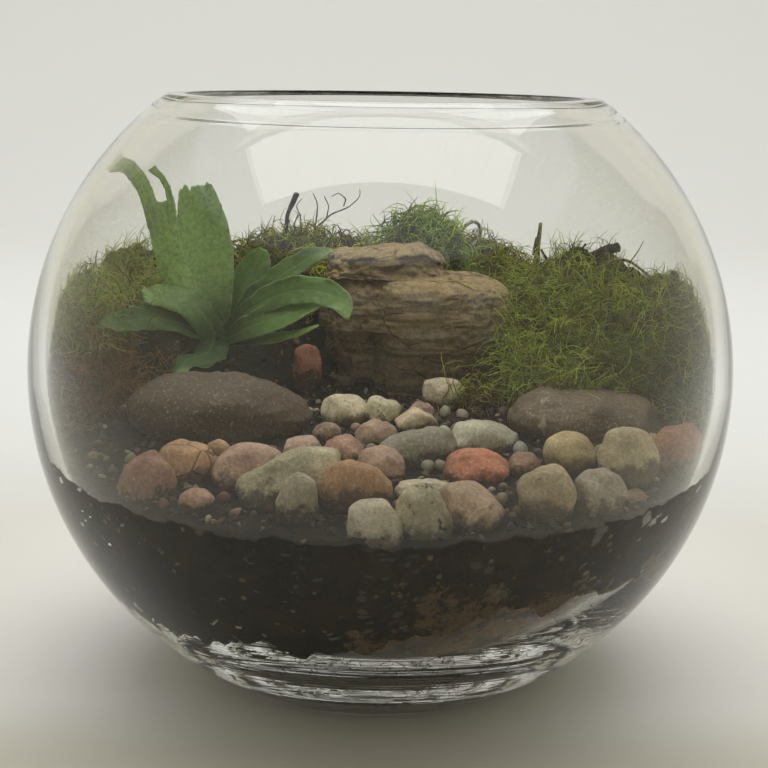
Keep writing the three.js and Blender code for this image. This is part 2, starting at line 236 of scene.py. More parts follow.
def startMaterial(name):
    material = bpy.data.materials.new(name)
    material.use_nodes = True
    tree = material.node_tree
    spot = addNode(tree, "TexCoord")
    return material, tree, tree.nodes["Principled BSDF"], spot


def dressed(tree, shader, colour, rough, gloss=0.5):
    plug(tree, shader.inputs["Base Color"], colour)
    plug(tree, shader.inputs["Roughness"], rough)
    shader.inputs["Specular IOR Level"].default_value = gloss


# Thin living things let a share of the light through, in the colour given.
def letThrough(tree, shader, colour, share):
    through = addNode(tree, "BsdfTranslucent", {"Color": colour})
    both = addNode(tree, "MixShader", {"Fac": share})
    tree.links.new(shader.outputs[0], both.inputs[1])
    tree.links.new(through.outputs[0], both.inputs[2])
    tree.links.new(both.outputs[0], tree.nodes["Material Output"].inputs["Surface"])


bowl = {
    "radius": 125, "halfHeight": 122.8, "height": 207.8, "foot": 55,
    "wall": 5.5, "floor": 8, "floorFlat": 18, "rimInner": 69, "widest": 112,
    "beadAt": 199.5, "beadWidth": 0.9, "bead": 0.3,
    "ripple": 0.1, "baseRings": 0.09, "ringGap": 1.0, "ringsBelow": 26,
    "sides": 176, "tint": 0xFCFCF9, "bending": 1.48,
}
cavity = bowl["radius"] - bowl["wall"]
cavityDepth = bowl["widest"] - bowl["floor"]
cavityRise = (bowl["height"] - bowl["widest"]) / math.sqrt(1 - (bowl["rimInner"] / cavity) ** 2)


def smoothStep(value, low, high):
    share = min(max((value - low) / (high - low), 0), 1)
    return share * share * (3 - 2 * share)


# The inner radius of the glass at a height, both in millimetres, with a faint bead under the lip.
def roomRadius(z):
    if z < bowl["widest"]:
        share = min(max((bowl["widest"] - z) / cavityDepth, 0), 1)
        return bowl["floorFlat"] + (cavity - bowl["floorFlat"]) * math.sqrt(1 - share * share)
    share = min((z - bowl["widest"]) / cavityRise, 1)
    bead = bowl["bead"] * math.exp(-((z - bowl["beadAt"]) / bowl["beadWidth"]) ** 2)
    return cavity * math.sqrt(1 - share * share) - bead


def turnedMesh(outline, sides):
    points, faces = [], []
    rings = []
    for r, z in outline:
        if r < 1e-6:
            rings.append([len(points)] * sides)
            points.append((0, 0, z))
            continue
        rings.append(list(range(len(points), len(points) + sides)))
        for k in range(sides):
            turn = 2 * math.pi * k / sides
            points.append((r * math.cos(turn), r * math.sin(turn), z))
    for low, high in zip(rings, rings[1:]):
        for k in range(sides):
            n = (k + 1) % sides
            corners = [low[k], low[n], high[n], high[k]]
            faces.append(tuple(dict.fromkeys(corners)))
    return np.array(points) * mm, faces


def bowlOutline():
    centre = bowl["halfHeight"] * math.sqrt(1 - (bowl["foot"] / bowl["radius"]) ** 2)
    low = -math.acos(bowl["foot"] / bowl["radius"])
    high = math.asin((bowl["height"] - centre) / bowl["halfHeight"])
    ringsEnd = -math.acos(0.68)
    # the foot is ground hollow and stands on its outer ring
    outline = [(r, 0.9) for r in np.arange(0, 46, 0.7)]
    outline += [(47, 0.6), (49, 0.2), (51, 0), (bowl["foot"] - 1.2, 0)]
    turns = list(np.linspace(low, ringsEnd, 52)) + list(np.linspace(ringsEnd, high, 54))[1:]
    outline += [(bowl["radius"] * math.cos(t), centre + bowl["halfHeight"] * math.sin(t)) for t in turns]
    lip, top = outline[-1]
    outline[-1] = (lip + 0.5, top - 0.7)
    outline += [(lip + 0.1, top - 0.15), (lip - 0.6, top)]
    outline += [(bowl["rimInner"] + 0.7, top), (bowl["rimInner"] + 0.2, top - 0.15)]
    underBead = bowl["beadAt"] - 4
    heights = list(np.linspace(top - 0.5, underBead, 26))
    heights += list(np.linspace(underBead, bowl["widest"], 26))[1:]
    outline += [(roomRadius(z), z) for z in heights]
    reach, rows = cavity - bowl["floorFlat"], 84
    for i in range(1, rows + 1):
        turn = math.pi / 2 * i / rows
        deep = bowl["widest"] - cavityDepth * math.sin(turn)
        outline.append((bowl["floorFlat"] + reach * math.cos(turn), deep))
    return outline + [(bowl["floorFlat"] / 2, bowl["floor"]), (0, bowl["floor"])]


# Blown glass is never quite even inside, and the thick base keeps rings from its mould.
def rippledGlass(points):
    flat = np.hypot(points[:, 0], points[:, 1])
    inside = np.array([r / mm < roomRadius(z / mm) + 0.4 for r, z in zip(flat, points[:, 2])])
    wave = roughness(points, 0.055, 3, 2) * bowl["ripple"] * mm
    for axis in (0, 1):
        points[:, axis] *= 1 + np.where(inside & (flat > 0.03), wave / np.maximum(flat, 0.001), 0)
    along = (flat + points[:, 2] * 1.3) / (bowl["ringGap"] * mm)
    rings = np.array([noise.fractal(Vector((a, p[0] * 9, p[1] * 9)), 1, 2, 2) for a, p in zip(along, points)])
    low = np.clip((bowl["ringsBelow"] * mm - points[:, 2]) / (10 * mm), 0, 1) * np.clip(flat / (4 * mm), 0, 1)
    onFoot = (points[:, 2] < 0.5 * mm) & (flat > 47 * mm)
    rings = np.where(onFoot, 0, rings) * low * bowl["baseRings"] * mm
    steep = np.where(inside | (points[:, 2] < 1.2 * mm), 0, 1)
    points[:, 2] += rings * (1 - steep)
    for axis in (0, 1):
        points[:, axis] *= 1 + rings * steep / np.maximum(flat, 0.001)
    return points


def glassMaterial():
    material, tree, shader, spot = startMaterial("clearGlass")
    dressed(tree, shader, paint(bowl["tint"]), 0)
    shader.inputs["Transmission Weight"].default_value = 1
    shader.inputs["IOR"].default_value = bowl["bending"]
    return material


def makeBowl():
    points, faces = turnedMesh(bowlOutline(), bowl["sides"])
    addPiece("glassBowl", rippledGlass(points), faces, glassMaterial(), "clear_glass", ["glass_bowl"])
    print("bowl made")


makeBowl()

# Colours of each stone's top, its lower part and its specks. Light is how much paler the top is painted, as
# painted light where light falls on it, steps how fine its mesh is, cuts how many flat breaks it has, the
# stain height how far up the darker lower part reaches, in part soil stain and in part painted shade.
stoneLooks = {
    "cobble_left": {"top": 0x3E3D38, "low": 0x332F28, "vein": 0xA89C86, "speck": 0x8F846E, "steps": 26,
                    "cuts": 1, "light": 1.2, "rough": 0.4, "veinTurn": 0.5, "stainAndShade": 0.25},
    "cobble_right": {"top": 0x56524A, "low": 0x463D34, "vein": 0xB0A490, "speck": 0x968A78, "steps": 26,
                     "cuts": 2, "light": 1.7, "rough": 0.4, "veinTurn": 0.3, "stainAndShade": 0.25},
    "slate_stone": {"top": 0x232427, "low": 0x17181A, "speck": 0x3C3E40, "steps": 18,
                    "cuts": 6, "light": 0.75},
    "pebble_red_upright": {"top": 0x7E4A42, "low": 0x5D3830, "speck": 0x9A6A5A},
    "pebble_grey_cream": {"top": 0xB0AA92, "low": 0x847E6A, "speck": 0x5E594B, "cuts": 2},
    "pebble_mauve_dark": {"top": 0x74605E, "low": 0x564544, "speck": 0x8A7672},
    "pebble_cream_round": {"top": 0xC9C3A6, "low": 0xA8A184, "speck": 0x5F5A4A, "holes": 0.5},
    "pebble_green_oval": {"top": 0xA7A78C, "low": 0x747460, "speck": 0x4F5044, "holes": 0.6},
    "pebble_tan_pointed": {"top": 0xBDB093, "low": 0x8F8268, "speck": 0x6B604B, "cuts": 3},
    "pebble_brown_small": {"top": 0x7D6D5C, "low": 0x5B4D40, "speck": 0x9A8B78},
    "pebble_striped": {"top": 0x81705F, "low": 0x5C4E42, "speck": 0xA09078, "bands": 0.8},
    "pebble_green_big": {"top": 0x989D8C, "low": 0x7D8172, "speck": 0x6A6E62, "cuts": 2},
    "pebble_pink_grey": {"top": 0x9A8578, "low": 0x705F54, "speck": 0xB8A898},
    "pebble_pink_brown": {"top": 0x947364, "low": 0x6A5044, "speck": 0xB09080, "cuts": 3},
    "pebble_green_long": {"top": 0x6D746A, "low": 0x545A52, "speck": 0x8A9084},
    "pebble_yellow_round": {"top": 0xD3C294, "low": 0xB9A678, "speck": 0x9C8A5E},
    "pebble_brown_flat": {"top": 0x7E6252, "low": 0x5B463A, "speck": 0x9A8070},
    "pebble_brown_streak": {"top": 0x8F7464, "low": 0x604C41, "speck": 0xB8A494, "bands": 0.6},
    "pebble_red_block": {"top": 0x9C5B44, "low": 0x6B3F30, "speck": 0x7A4434, "cuts": 4},
    "pebble_dark_small": {"top": 0x6D716C, "low": 0x565A54, "speck": 0x868A82},
    "pebble_small_tan": {"top": 0xB59678, "low": 0x8A6E54, "speck": 0x6E553E},
    "pebble_orange_round": {"top": 0xC09A76, "low": 0x96684A, "speck": 0x6B4A34, "cracks": 0.7},
    "pebble_pink_flat": {"top": 0xB8998A, "low": 0x7B5B4D, "speck": 0xD0B8AC},
    "pebble_long_cream": {"top": 0xBDB99C, "low": 0x6E6A50, "speck": 0x9C987E},
    "pebble_orange": {"top": 0xB48A64, "low": 0x8A6240, "speck": 0xCDB292, "cuts": 2},
    "pebble_pale_flat": {"top": 0xB4AF9A, "low": 0x8D8873, "speck": 0x6F6A58, "layers": 0.3},
    "pebble_brown_red": {"top": 0x94604A, "low": 0x6A4636, "speck": 0xB08468},
    "pebble_brown_low": {"top": 0x877262, "low": 0x6A584B, "speck": 0x9F8C7C},
    "pebble_cream_tall": {"top": 0xCBBF9C, "low": 0xA99E7C, "speck": 0x8C8062, "cuts": 5, "holes": 0.2},
    "pebble_mauve": {"top": 0x7F5A54, "low": 0x644640, "speck": 0x946E66},
    "pebble_brown_ring": {"top": 0x8D6D5C, "low": 0x5A463B, "speck": 0xB89A88},
    "pebble_grey_upright": {"top": 0xA8A58F, "low": 0x5D5746, "speck": 0x8A8670},
    "pebble_pinkish_cream": {"top": 0xC3AB93, "low": 0x9C8068, "speck": 0x6C5440, "holes": 0.5, "cuts": 2},
    "pebble_cream_block": {"top": 0xC6B695, "low": 0x89745C, "speck": 0x786348, "cuts": 5},
    "pebble_white_grey": {"top": 0xB3AD9C, "low": 0x84796A, "speck": 0x9B9484, "cuts": 2},
    "pebble_speckled": {"top": 0xBFBAA4, "low": 0x9A957E, "speck": 0x4A4437, "holes": 1.0, "cuts": 2},
    "pebble_spotted_oval": {"top": 0xB1AD92, "low": 0x8E8A70, "speck": 0x504A3A, "holes": 0.9},
}
# what a stone has unless its own row says otherwise
anyStone = {
    "steps": 13, "soften": 4, "lump": 0.13, "grain": 0.025, "grainSize": 1.6, "cuts": 2, "cutDepth": 0.74,
    "fuller": (1.16, 1.16, 1.18), "cobbleFuller": (1, 1.05, 1.16), "light": 2.35, "stainAndShade": 0.5, "rough": 0.5,
    "earth": 0x84694A, "earthShare": 0.34, "fleck": 0xE8DCC0, "damp": 0x231C14, "pit": 0x3A3128,
    "crack": 0x4A3224, "gloss": 0.3,
}


# Every stone's colour leans to the earth it lies in.
def earthy(code, light=1):
    share = anyStone["earthShare"]
    own, earth = np.array(paint(code)), np.array(paint(anyStone["earth"]))
    colour = ((1 - share) * own + share * earth)[:3]
    return (*colour * min(light, 0.8 / colour.max()), 1)


# What only some stones have: bands, layers, pits, cracks or a vein.
def stoneMarks(tree, look, place, patches, colour, bump):
    if "bands" in look:
        bands = stepped(tree, bandsAt(tree, place, 150, 5, 3), 0.5, 0.8)
        colour = overlaid(tree, colour, bands, look["bands"] * 0.6, paint(look["speck"]))
    if "layers" in look:
        bump = plus(tree, bump, times(tree, bandsAt(tree, place, 220, 3, 4), look["layers"]))
    if "holes" in look:
        pits = stepped(tree, noiseAt(tree, place, 260, 3, 0.6), 0.36, 0.3)
        share = times(tree, pits, look["holes"])
        colour = mixed(tree, share, colour, paint(look["pit"]))
        bump = maths(tree, "SUBTRACT", bump, share)
    if "cracks" in look:
        crack = stepped(tree, netAt(tree, place, 95), 0.035, 0.008)
        colour = overlaid(tree, colour, crack, look["cracks"], paint(look["crack"]))
        bump = maths(tree, "SUBTRACT", bump, crack)
    if "vein" in look:
        turned = addNode(tree, "Mapping", {"Vector": place, "Rotation": (0.4, look["veinTurn"], 0.9)})
        wave = addNode(tree, "TexWave", {"Vector": turned.outputs[0], "Scale": 7, "Distortion": 9,
                                         "Detail": 4, "Detail Scale": 2.5}).outputs["Fac"]
        vein = times(tree, stepped(tree, wave, 0.988, 0.999), stepped(tree, patches, 0.5, 0.64))
        colour = mixed(tree, vein, colour, paint(look["vein"]))
    return colour, bump


def stoneMaterial(name, look):
    material, tree, shader, spot = startMaterial(name)
    place = spot.outputs["Object"]
    patches = noiseAt(tree, place, 140, 4, 0.65)
    fine = noiseAt(tree, place, 900, 5, 0.7)
    height = alongAxis(tree, spot.outputs["Generated"], "Z")
    # darker below a wavering line, in part soil stain and in part painted shade, and pale above it as painted
    # light on the top
    line = plus(tree, height, times(tree, maths(tree, "SUBTRACT", patches, 0.5), 0.9))
    shadedStainedLow, litTop, stainAndShade = earthy(look["low"], 0.5), earthy(look["top"], look["light"]), look["stainAndShade"]
    colour = mixed(tree, stepped(tree, line, stainAndShade - 0.1, stainAndShade + 0.1), shadedStainedLow, litTop)
    broad = noiseAt(tree, place, 60, 3, 0.5)
    colour = overlaid(tree, colour, stepped(tree, broad, 0.6, 0.4), 0.45, earthy(look["low"], 0.8))
    colour = overlaid(tree, colour, stepped(tree, fine, 0.62, 0.35), 0.4, earthy(look["low"], 0.7))
    colour = overlaid(tree, colour, stepped(tree, fine, 0.54, 0.72), 0.4, paint(look["fleck"]))
    # painted shade along the bottom of each stone, where it sits in the soil
    edge = plus(tree, height, times(tree, patches, 0.4))
    colour = mixed(tree, stepped(tree, edge, 0.4, 0.26), colour, paint(look["damp"]))
    dots = addNode(tree, "TexVoronoi", {"Vector": place, "Scale": 520, "Randomness": 1})
    few = times(tree, stepped(tree, dots.outputs["Distance"], 0.22, 0.1),
                stepped(tree, noiseAt(tree, place, 230, 2), 0.5, 0.62))
    colour = overlaid(tree, colour, few, 0.75, earthy(look["speck"]))
    bump = plus(tree, times(tree, fine, 0.8), patches)
    colour, bump = stoneMarks(tree, look, place, patches, colour, bump)
    dressed(tree, shader, colour, plus(tree, times(tree, fine, 0.3), look["rough"]), look["gloss"])
    bumped(tree, shader, bump, 0.7, 0.8 * mm)
    return material


def nodeTree(node):
    mesh = frame["nodes"][node].data
    return BVHTree.FromPolygons([v.co[:] for v in mesh.vertices], [p.vertices[:] for p in mesh.polygons])


# A finer stone in the place of a node: its own surface seen from its middle, softened, cut by a
# few flat breaks, roughened and made a little fuller.
def stonePoints(node, steps, seed, cuts):
    low, high = (np.array(v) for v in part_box(node))
    middle, half = (low + high) / 2, (high - low) / 2
    ways, faces = cubeBall(steps)
    surface, points = nodeTree(node), []
    for way in ways:
        aim = Vector(way * half).normalized()
        hit = surface.ray_cast(Vector(middle), aim)[0]
        points.append(hit if hit is not None else middle + way * half)
    points = softened(np.array(points), faces, anyStone["soften"])
    dice = random.Random(seed)
    for _ in range(cuts):
        way = np.array([dice.gauss(0, 1), dice.gauss(0, 1), abs(dice.gauss(0, 0.8))])
        way /= np.linalg.norm(way)
        along = (points - middle) / half @ way
        over = along - along.max() * (anyStone["cutDepth"] + 0.12 * dice.random())
        points = points - np.outer(np.maximum(over, 0), way) * half
    points = softened(points, faces, 1)
    size = half.mean()
    out = (points - middle) / np.linalg.norm(points - middle, axis=1)[:, None]
    lumps = roughness(points, size * 0.9, seed, 2) * anyStone["lump"]
    grain = roughness(points, anyStone["grainSize"] * mm, seed, 2) * anyStone["grain"]
    points = points + out * ((lumps + grain) * size)[:, None]
    reach = np.maximum(points.max(0) - middle, middle - points.min(0))
    fuller = np.array(anyStone["fuller"] if node.startswith("pebble") else anyStone["cobbleFuller"])
    return middle + (points - middle) * (half / reach) * fuller, faces


def pieceName(node):
    return "".join(word.capitalize() if i else word for i, word in enumerate(node.split("_")))


def stoneSlot(node):
    return next(s["material_slot"] for s in frame["record"]["subparts"] if s["node"] == node)


def makeStones():
    for seed, (node, look) in enumerate(stoneLooks.items(), 1):
        look = {**anyStone, **look}
        points, faces = stonePoints(node, look["steps"], seed, look["cuts"])
        name = pieceName(node)
        addPiece(name, points, faces, stoneMaterial(name + "Stone", look), stoneSlot(node), [node])
    print("stones made:", len(stoneLooks))


makeStones()

ground = {
    "front": 82, "middle": 95, "bank": 32, "sideBank": 22, "mound": 12, "moundRadius": 17, "ragged": 2.2,
    "plant": (-60, 25), "gritLow": 42, "gritHigh": 58, "gap": -0.12, "liftedGap": 0.5, "liftedBelow": 37,
    "columns": 320, "soilRings": 40, "gritRings": 6, "wallRows": 44, "floorRings": 5, "dust": 0xBCBCB4,
}
# left and right are pairs of dark and light for the two sides of the bowl; patches of another colour
# show through, and lowRight is how many more of them there are low on the right
fillings = {
    "dampSoil": {
        "left": (0x0C0A06, 0x33291D), "right": (0x120E09, 0x3B2E1F), "speck": 0x74664E, "speckSize": 330,
        "speckShare": 0.07, "patch": 0x7C6446, "patchShare": 0.4, "lowRight": 0.24},
    "brownGrit": {
        "left": (0x38332C, 0x6E665A), "right": (0x7E5C38, 0xC4965E), "speck": 0xD0C0A0, "speckSize": 300,
        "speckShare": 0.2, "patch": 0x2E261E, "patchShare": 0.52, "lowRight": 0},
}


def soilTop(x, y):
    slope = (ground["middle"] - ground["front"]) * smoothStep(y, -118, 5)
    bank = ground["bank"] * smoothStep(y, 12, 78)
    sides = ground["sideBank"] * smoothStep(abs(x), 50, 108) * smoothStep(y, -5, 50)
    away = math.hypot(x - ground["plant"][0], y - ground["plant"][1])
    mound = ground["mound"] * math.exp(-(away / ground["moundRadius"]) ** 2)
    # the edge on the glass is ragged
    ragged = noise.noise(Vector((x / 9, y / 9, 9))) + 0.6 * noise.noise(Vector((x / 3, y / 3, 4)))
    ragged *= ground["ragged"] * smoothStep(math.hypot(x, y), 92, 112)
    return ground["front"] + slope + bank + sides + mound + ragged


def gritTop(x, y):
    broken = 7 * noise.noise(Vector((x / 15, y / 15, 3))) + 3 * noise.noise(Vector((x / 4, y / 4, 7)))
    return ground["gritLow"] + (ground["gritHigh"] - ground["gritLow"]) * smoothStep(x, -30, 60) + broken


def soilFloor(x, y):
    return gritTop(x, y) + 0.2


def gritFloor(x, y):
    out = max(math.hypot(x, y) - bowl["floorFlat"], 0) / (cavity - bowl["floorFlat"])
    return bowl["widest"] - cavityDepth * math.sqrt(max(1 - out * out, 0)) + ground["liftedGap"]


# The filling is pressed on the glass, but it stands a little off the curve of the base.
def wallGap(z, way):
    edge = ground["liftedBelow"] + 4 * noise.noise(Vector((way[0] * 9, way[1] * 9, 5)))
    edge += 4 * noise.noise(Vector((way[0] * 40, way[1] * 40, 8)))
    return ground["gap"] + (ground["liftedGap"] - ground["gap"]) * smoothStep(edge - z, 0, 1.5)


# The radius at which a surface of the given heights meets the glass.
def edgeRadius(heights, way):
    r = 100
    for _ in range(12):
        z = heights(r * way[0], r * way[1])
        r = roomRadius(z) - wallGap(z, way)
    return r


def surfacePoint(heights, r, way):
    x, y = r * way[0], r * way[1]
    return x, y, heights(x, y)


# Lumpy on top, and pressed against the glass here and there, with little hollows between.
def crumbled(points, wallStart, wallEnd, grain, lump, seed):
    push = roughness(points, 0.0022, seed, 3) * grain + roughness(points, 0.009, seed + 1, 2) * lump + 0.7
    flat = np.hypot(points[:, 0], points[:, 1])
    onWall = np.zeros(len(points), bool)
    onWall[wallStart - ground["columns"]:wallEnd] = True
    shrink = 1 + np.minimum(push, 0) * mm / np.maximum(flat, 0.02)
    for axis in (0, 1):
        points[:, axis] *= np.where(onWall, shrink, 1)
    points[:wallStart, 2] += push[:wallStart] * mm
    return points


# A filling of the bowl from one height to another, its wall hugging the glass.
def fillingMesh(top, floor, grain, lump, seed, topRings):
    columns, rings = ground["columns"], []
    turns = [2 * math.pi * k / columns for k in range(columns)]
    ways = [(math.cos(turn), math.sin(turn)) for turn in turns]
    topEdge = [edgeRadius(top, way) for way in ways]
    floorEdge = [min(edgeRadius(floor, way), edge) for way, edge in zip(ways, topEdge)]
    for i in range(1, topRings + 1):
        share = (i / topRings) ** 0.85
        rings.append([surfacePoint(top, r * share, way) for r, way in zip(topEdge, ways)])
    for i in range(1, ground["wallRows"] + 1):
        row = []
        for r, low, way in zip(topEdge, floorEdge, ways):
            z0, z1 = surfacePoint(top, r, way)[2], surfacePoint(floor, low, way)[2]
            z = z0 + (z1 - z0) * i / ground["wallRows"]
            reach = roomRadius(z) - wallGap(z, way)
            row.append((reach * way[0], reach * way[1], z))
        rings.append(row)
    for i in range(1, ground["floorRings"] + 1):
        share = 1 - i / (ground["floorRings"] + 1)
        rings.append([surfacePoint(floor, r * share, way) for r, way in zip(floorEdge, ways)])
    points = np.array([p for ring in rings for p in ring]) * mm
    faces = [tuple(reversed(f)) for f in sheetFaces(len(rings), columns)]
    first, last = len(points), (len(rings) - 1) * columns
    points = np.vstack([points, [(0, 0, top(0, 0) * mm), (0, 0, floor(0, 0) * mm)]])
    for k in range(columns):
        n = (k + 1) % columns
        faces.append((first, k, n))
        faces.append((last + k, first + 1, last + n))
    return crumbled(points, topRings * columns, last, grain, lump, seed), faces


def crumbMaterial(name):
    look = fillings[name]
    material, tree, shader, spot = startMaterial(name)
    place = spot.outputs["Object"]
    across = plus(tree, alongAxis(tree, place, "X"), times(tree, noiseAt(tree, place, 45, 3), 0.06))
    side = stepped(tree, across, 0.01, 0.055)
    dark = mixed(tree, side, paint(look["left"][0]), paint(look["right"][0]))
    light = mixed(tree, side, paint(look["left"][1]), paint(look["right"][1]))
    broad = noiseAt(tree, place, 60, 5, 0.7)
    fine = noiseAt(tree, place, 700, 6, 0.75)
    both = plus(tree, times(tree, broad, 0.5), times(tree, fine, 0.5))
    colour = mixed(tree, stepped(tree, both, 0.4, 0.62), dark, light)
    blotch = noiseAt(tree, place, 85, 6, 0.8)
    high = alongAxis(tree, place, "Z")
    lowRight = times(tree, stepped(tree, high, 0.075, 0.045), side)
    blotch = plus(tree, blotch, times(tree, lowRight, look["lowRight"]))
    blotch = stepped(tree, blotch, 1 - look["patchShare"], 1.07 - look["patchShare"])
    colour = overlaid(tree, colour, blotch, 0.85, paint(look["patch"]))
    # pale dust has settled to the very bottom
    uneven = maths(tree, "SUBTRACT", high, times(tree, noiseAt(tree, place, 75, 6, 0.75), 0.04))
    dust = times(tree, stepped(tree, uneven, 0.019, 0.004), 0.8)
    colour = mixed(tree, dust, colour, paint(ground["dust"]))
    dots = addNode(tree, "TexVoronoi", {"Vector": place, "Scale": look["speckSize"], "Randomness": 1})
    chance = addNode(tree, "SeparateColor", {"Color": dots.outputs["Color"]}).outputs["Red"]
    pick = stepped(tree, chance, 1 - look["speckShare"], 1 - look["speckShare"] * 0.8)
    spots = times(tree, pick, stepped(tree, dots.outputs["Distance"], 0.42, 0.2))
    colour = mixed(tree, spots, colour, paint(look["speck"]))
    dressed(tree, shader, colour, plus(tree, times(tree, fine, 0.3), 0.65), 0.2)
    bumped(tree, shader, plus(tree, fine, times(tree, spots, 0.5)), 0.8, 1.2 * mm)
    return material


def makeGround():
    points, faces = fillingMesh(soilTop, soilFloor, 1.0, 1.2, 11, ground["soilRings"])
    addPiece("pottingSoil", points, faces, crumbMaterial("dampSoil"), "soil", ["potting_soil"])
    points, faces = fillingMesh(gritTop, gritFloor, 1.1, 1.0, 17, ground["gritRings"])
    addPiece("drainageGrit", points, faces, crumbMaterial("brownGrit"), "grit", ["drainage_grit"])
    print("soil and grit made")


makeGround()

# Each row is a height, then how far left, right, forward and back the rock reaches there. Each
# groove is a height, a width and a depth.
sandstone = {
    "rows": [
        (92, -14, 36, 17, 39), (99, -19, 40, 14, 41), (106, -21.5, 42.5, 13, 44), (111, -22, 43.5, 13, 45),
        (113, -22.5, 46, 10, 45), (119, -22.8, 48, 9.2, 46), (128, -23, 49, 9, 46), (133, -22, 48.8, 9.6, 46),
        (136.5, -21.6, 47, 12, 46), (138.4, -21.2, 43.5, 15, 46), (139.2, -21, 37, 17.5, 46),
        (140, -21, 31, 18.5, 46), (143.5, -20.6, 28, 19, 46.5), (145.5, -20.4, 26.5, 19.4, 46.6),
        (149.3, -19.6, 24, 20.4, 46.4), (150.8, -18, 22, 23, 44),
    ],
    "rowsHigh": 130, "around": 210, "capRings": 16, "squareness": 4.2,
    "grooves": [
        (113.6, 1.6, 1.1), (124.6, 0.9, 0.8), (129.4, 0.7, 0.6), (118.4, 0.5, 0.5), (134.4, 0.5, 0.4),
        (104.5, 1.0, 0.9),
    ],
    "dip": 0.035, "recess": 7, "recessTo": 1, "ledge": 0.3, "blocks": 2.6, "blockSize": 9.5, "grain": 1.0,
    "sunny": 0xB29C70, "tan": 0xAA966E, "grey": 0x9C917A, "brown": 0x927A58, "stainAndShade": 0x54463A,
    "joint": 0x2E251B,
}


# How far one spot of the rock's side stands out: beds that dip a little to the left are worn back
# along their joints, and the left end of the face is broken into blocks and stands back.
def rockRelief(spot, z, s):
    look = sandstone
    bed = z + spot.x * look["dip"] + noise.noise(Vector((spot.x / 14, spot.y / 14, 2))) * 1.1
    step = 0
    for at, width, depth in look["grooves"]:
        worn = 0.5 + noise.noise(Vector((spot.x / 9, at, spot.y / 9)))
        step -= depth * math.exp(-((bed - at) / width) ** 2) * worn
    step += look["ledge"] * noise.noise(Vector((spot.x / 20, bed / 2.1, spot.y / 20))) * 1.6
    leftShare = smoothStep(-spot.x, -look["recessTo"] - 4, -look["recessTo"] + 3)
    broken = noise.cell(spot / look["blockSize"] + Vector((0.35, 0.2, 0.4))) - 0.5
    if s < 0 and z < 139:
        step -= leftShare * look["recess"] * abs(s) ** 0.5
    rough = noise.fractal(spot / 2.4, 1, 2, 4) * look["grain"] + noise.noise(spot / 8) * 1.1
    blocks = look["blocks"] * broken * max(leftShare, smoothStep(z, 138, 142), 0.12)
    return step + blocks + rough - 0.3


# One level of the rock: a square with rounded corners.
def rockRing(z, left, right, front, back):
    middle = Vector(((left + right) / 2, (front + back) / 2, 0))
    half = ((right - left) / 2, (back - front) / 2)
    power, ring = 2 / sandstone["squareness"], []
    for k in range(sandstone["around"]):
        turn = 2 * math.pi * k / sandstone["around"]
        c, s = math.cos(turn), math.sin(turn)
        x, y = (math.copysign(abs(v) ** power, v) * h for v, h in zip((c, s), half))
        spot = middle + Vector((x, y, z))
        out = Vector((c * half[1], s * half[0], 0)).normalized()
        ring.append(spot + out * rockRelief(spot, z, s))
    return ring


def rockPoints():
    table, around = np.array(sandstone["rows"], float), sandstone["around"]
    rings = []
    for z in np.linspace(table[0, 0], table[-1, 0], sandstone["rowsHigh"]):
        rings.append(rockRing(z, *(np.interp(z, table[:, 0], table[:, k]) for k in range(1, 5))))
    top = rings[-1]
    middle = sum(top, Vector()) / len(top)
    for i in range(1, sandstone["capRings"]):
        share = 1 - i / sandstone["capRings"]
        rings.append([middle + (spot - middle) * share for spot in top])
    points = np.array([p for ring in rings for p in ring])
    faces = sheetFaces(len(rings), around)
    # the top slab rises to the right, then drops in a broken slope
    high = np.clip((points[:, 2] - 140) / 6, 0, 1)
    points[:, 2] += high * ((points[:, 0] + 20) * 0.075 - 2.8 - np.maximum(points[:, 0] - 15, 0) * 0.6)
    points[:, 2] += roughness(points * mm, 0.007, 8, 4) * np.where(points[:, 2] > 137.5, 1.0, 0.2)
    low, left, right, front, back = sandstone["rows"][0]
    first, last = len(points), (len(rings) - 1) * around
    ends = [(*middle.to_2d(), points[-1][2]), ((left + right) / 2, (front + back) / 2, low)]
    points = np.vstack([points, ends])
    for k in range(around):
        n = (k + 1) % around
        faces.append((last + k, last + n, first))
        faces.append((n, k, first + 1))
    return points * mm, faces


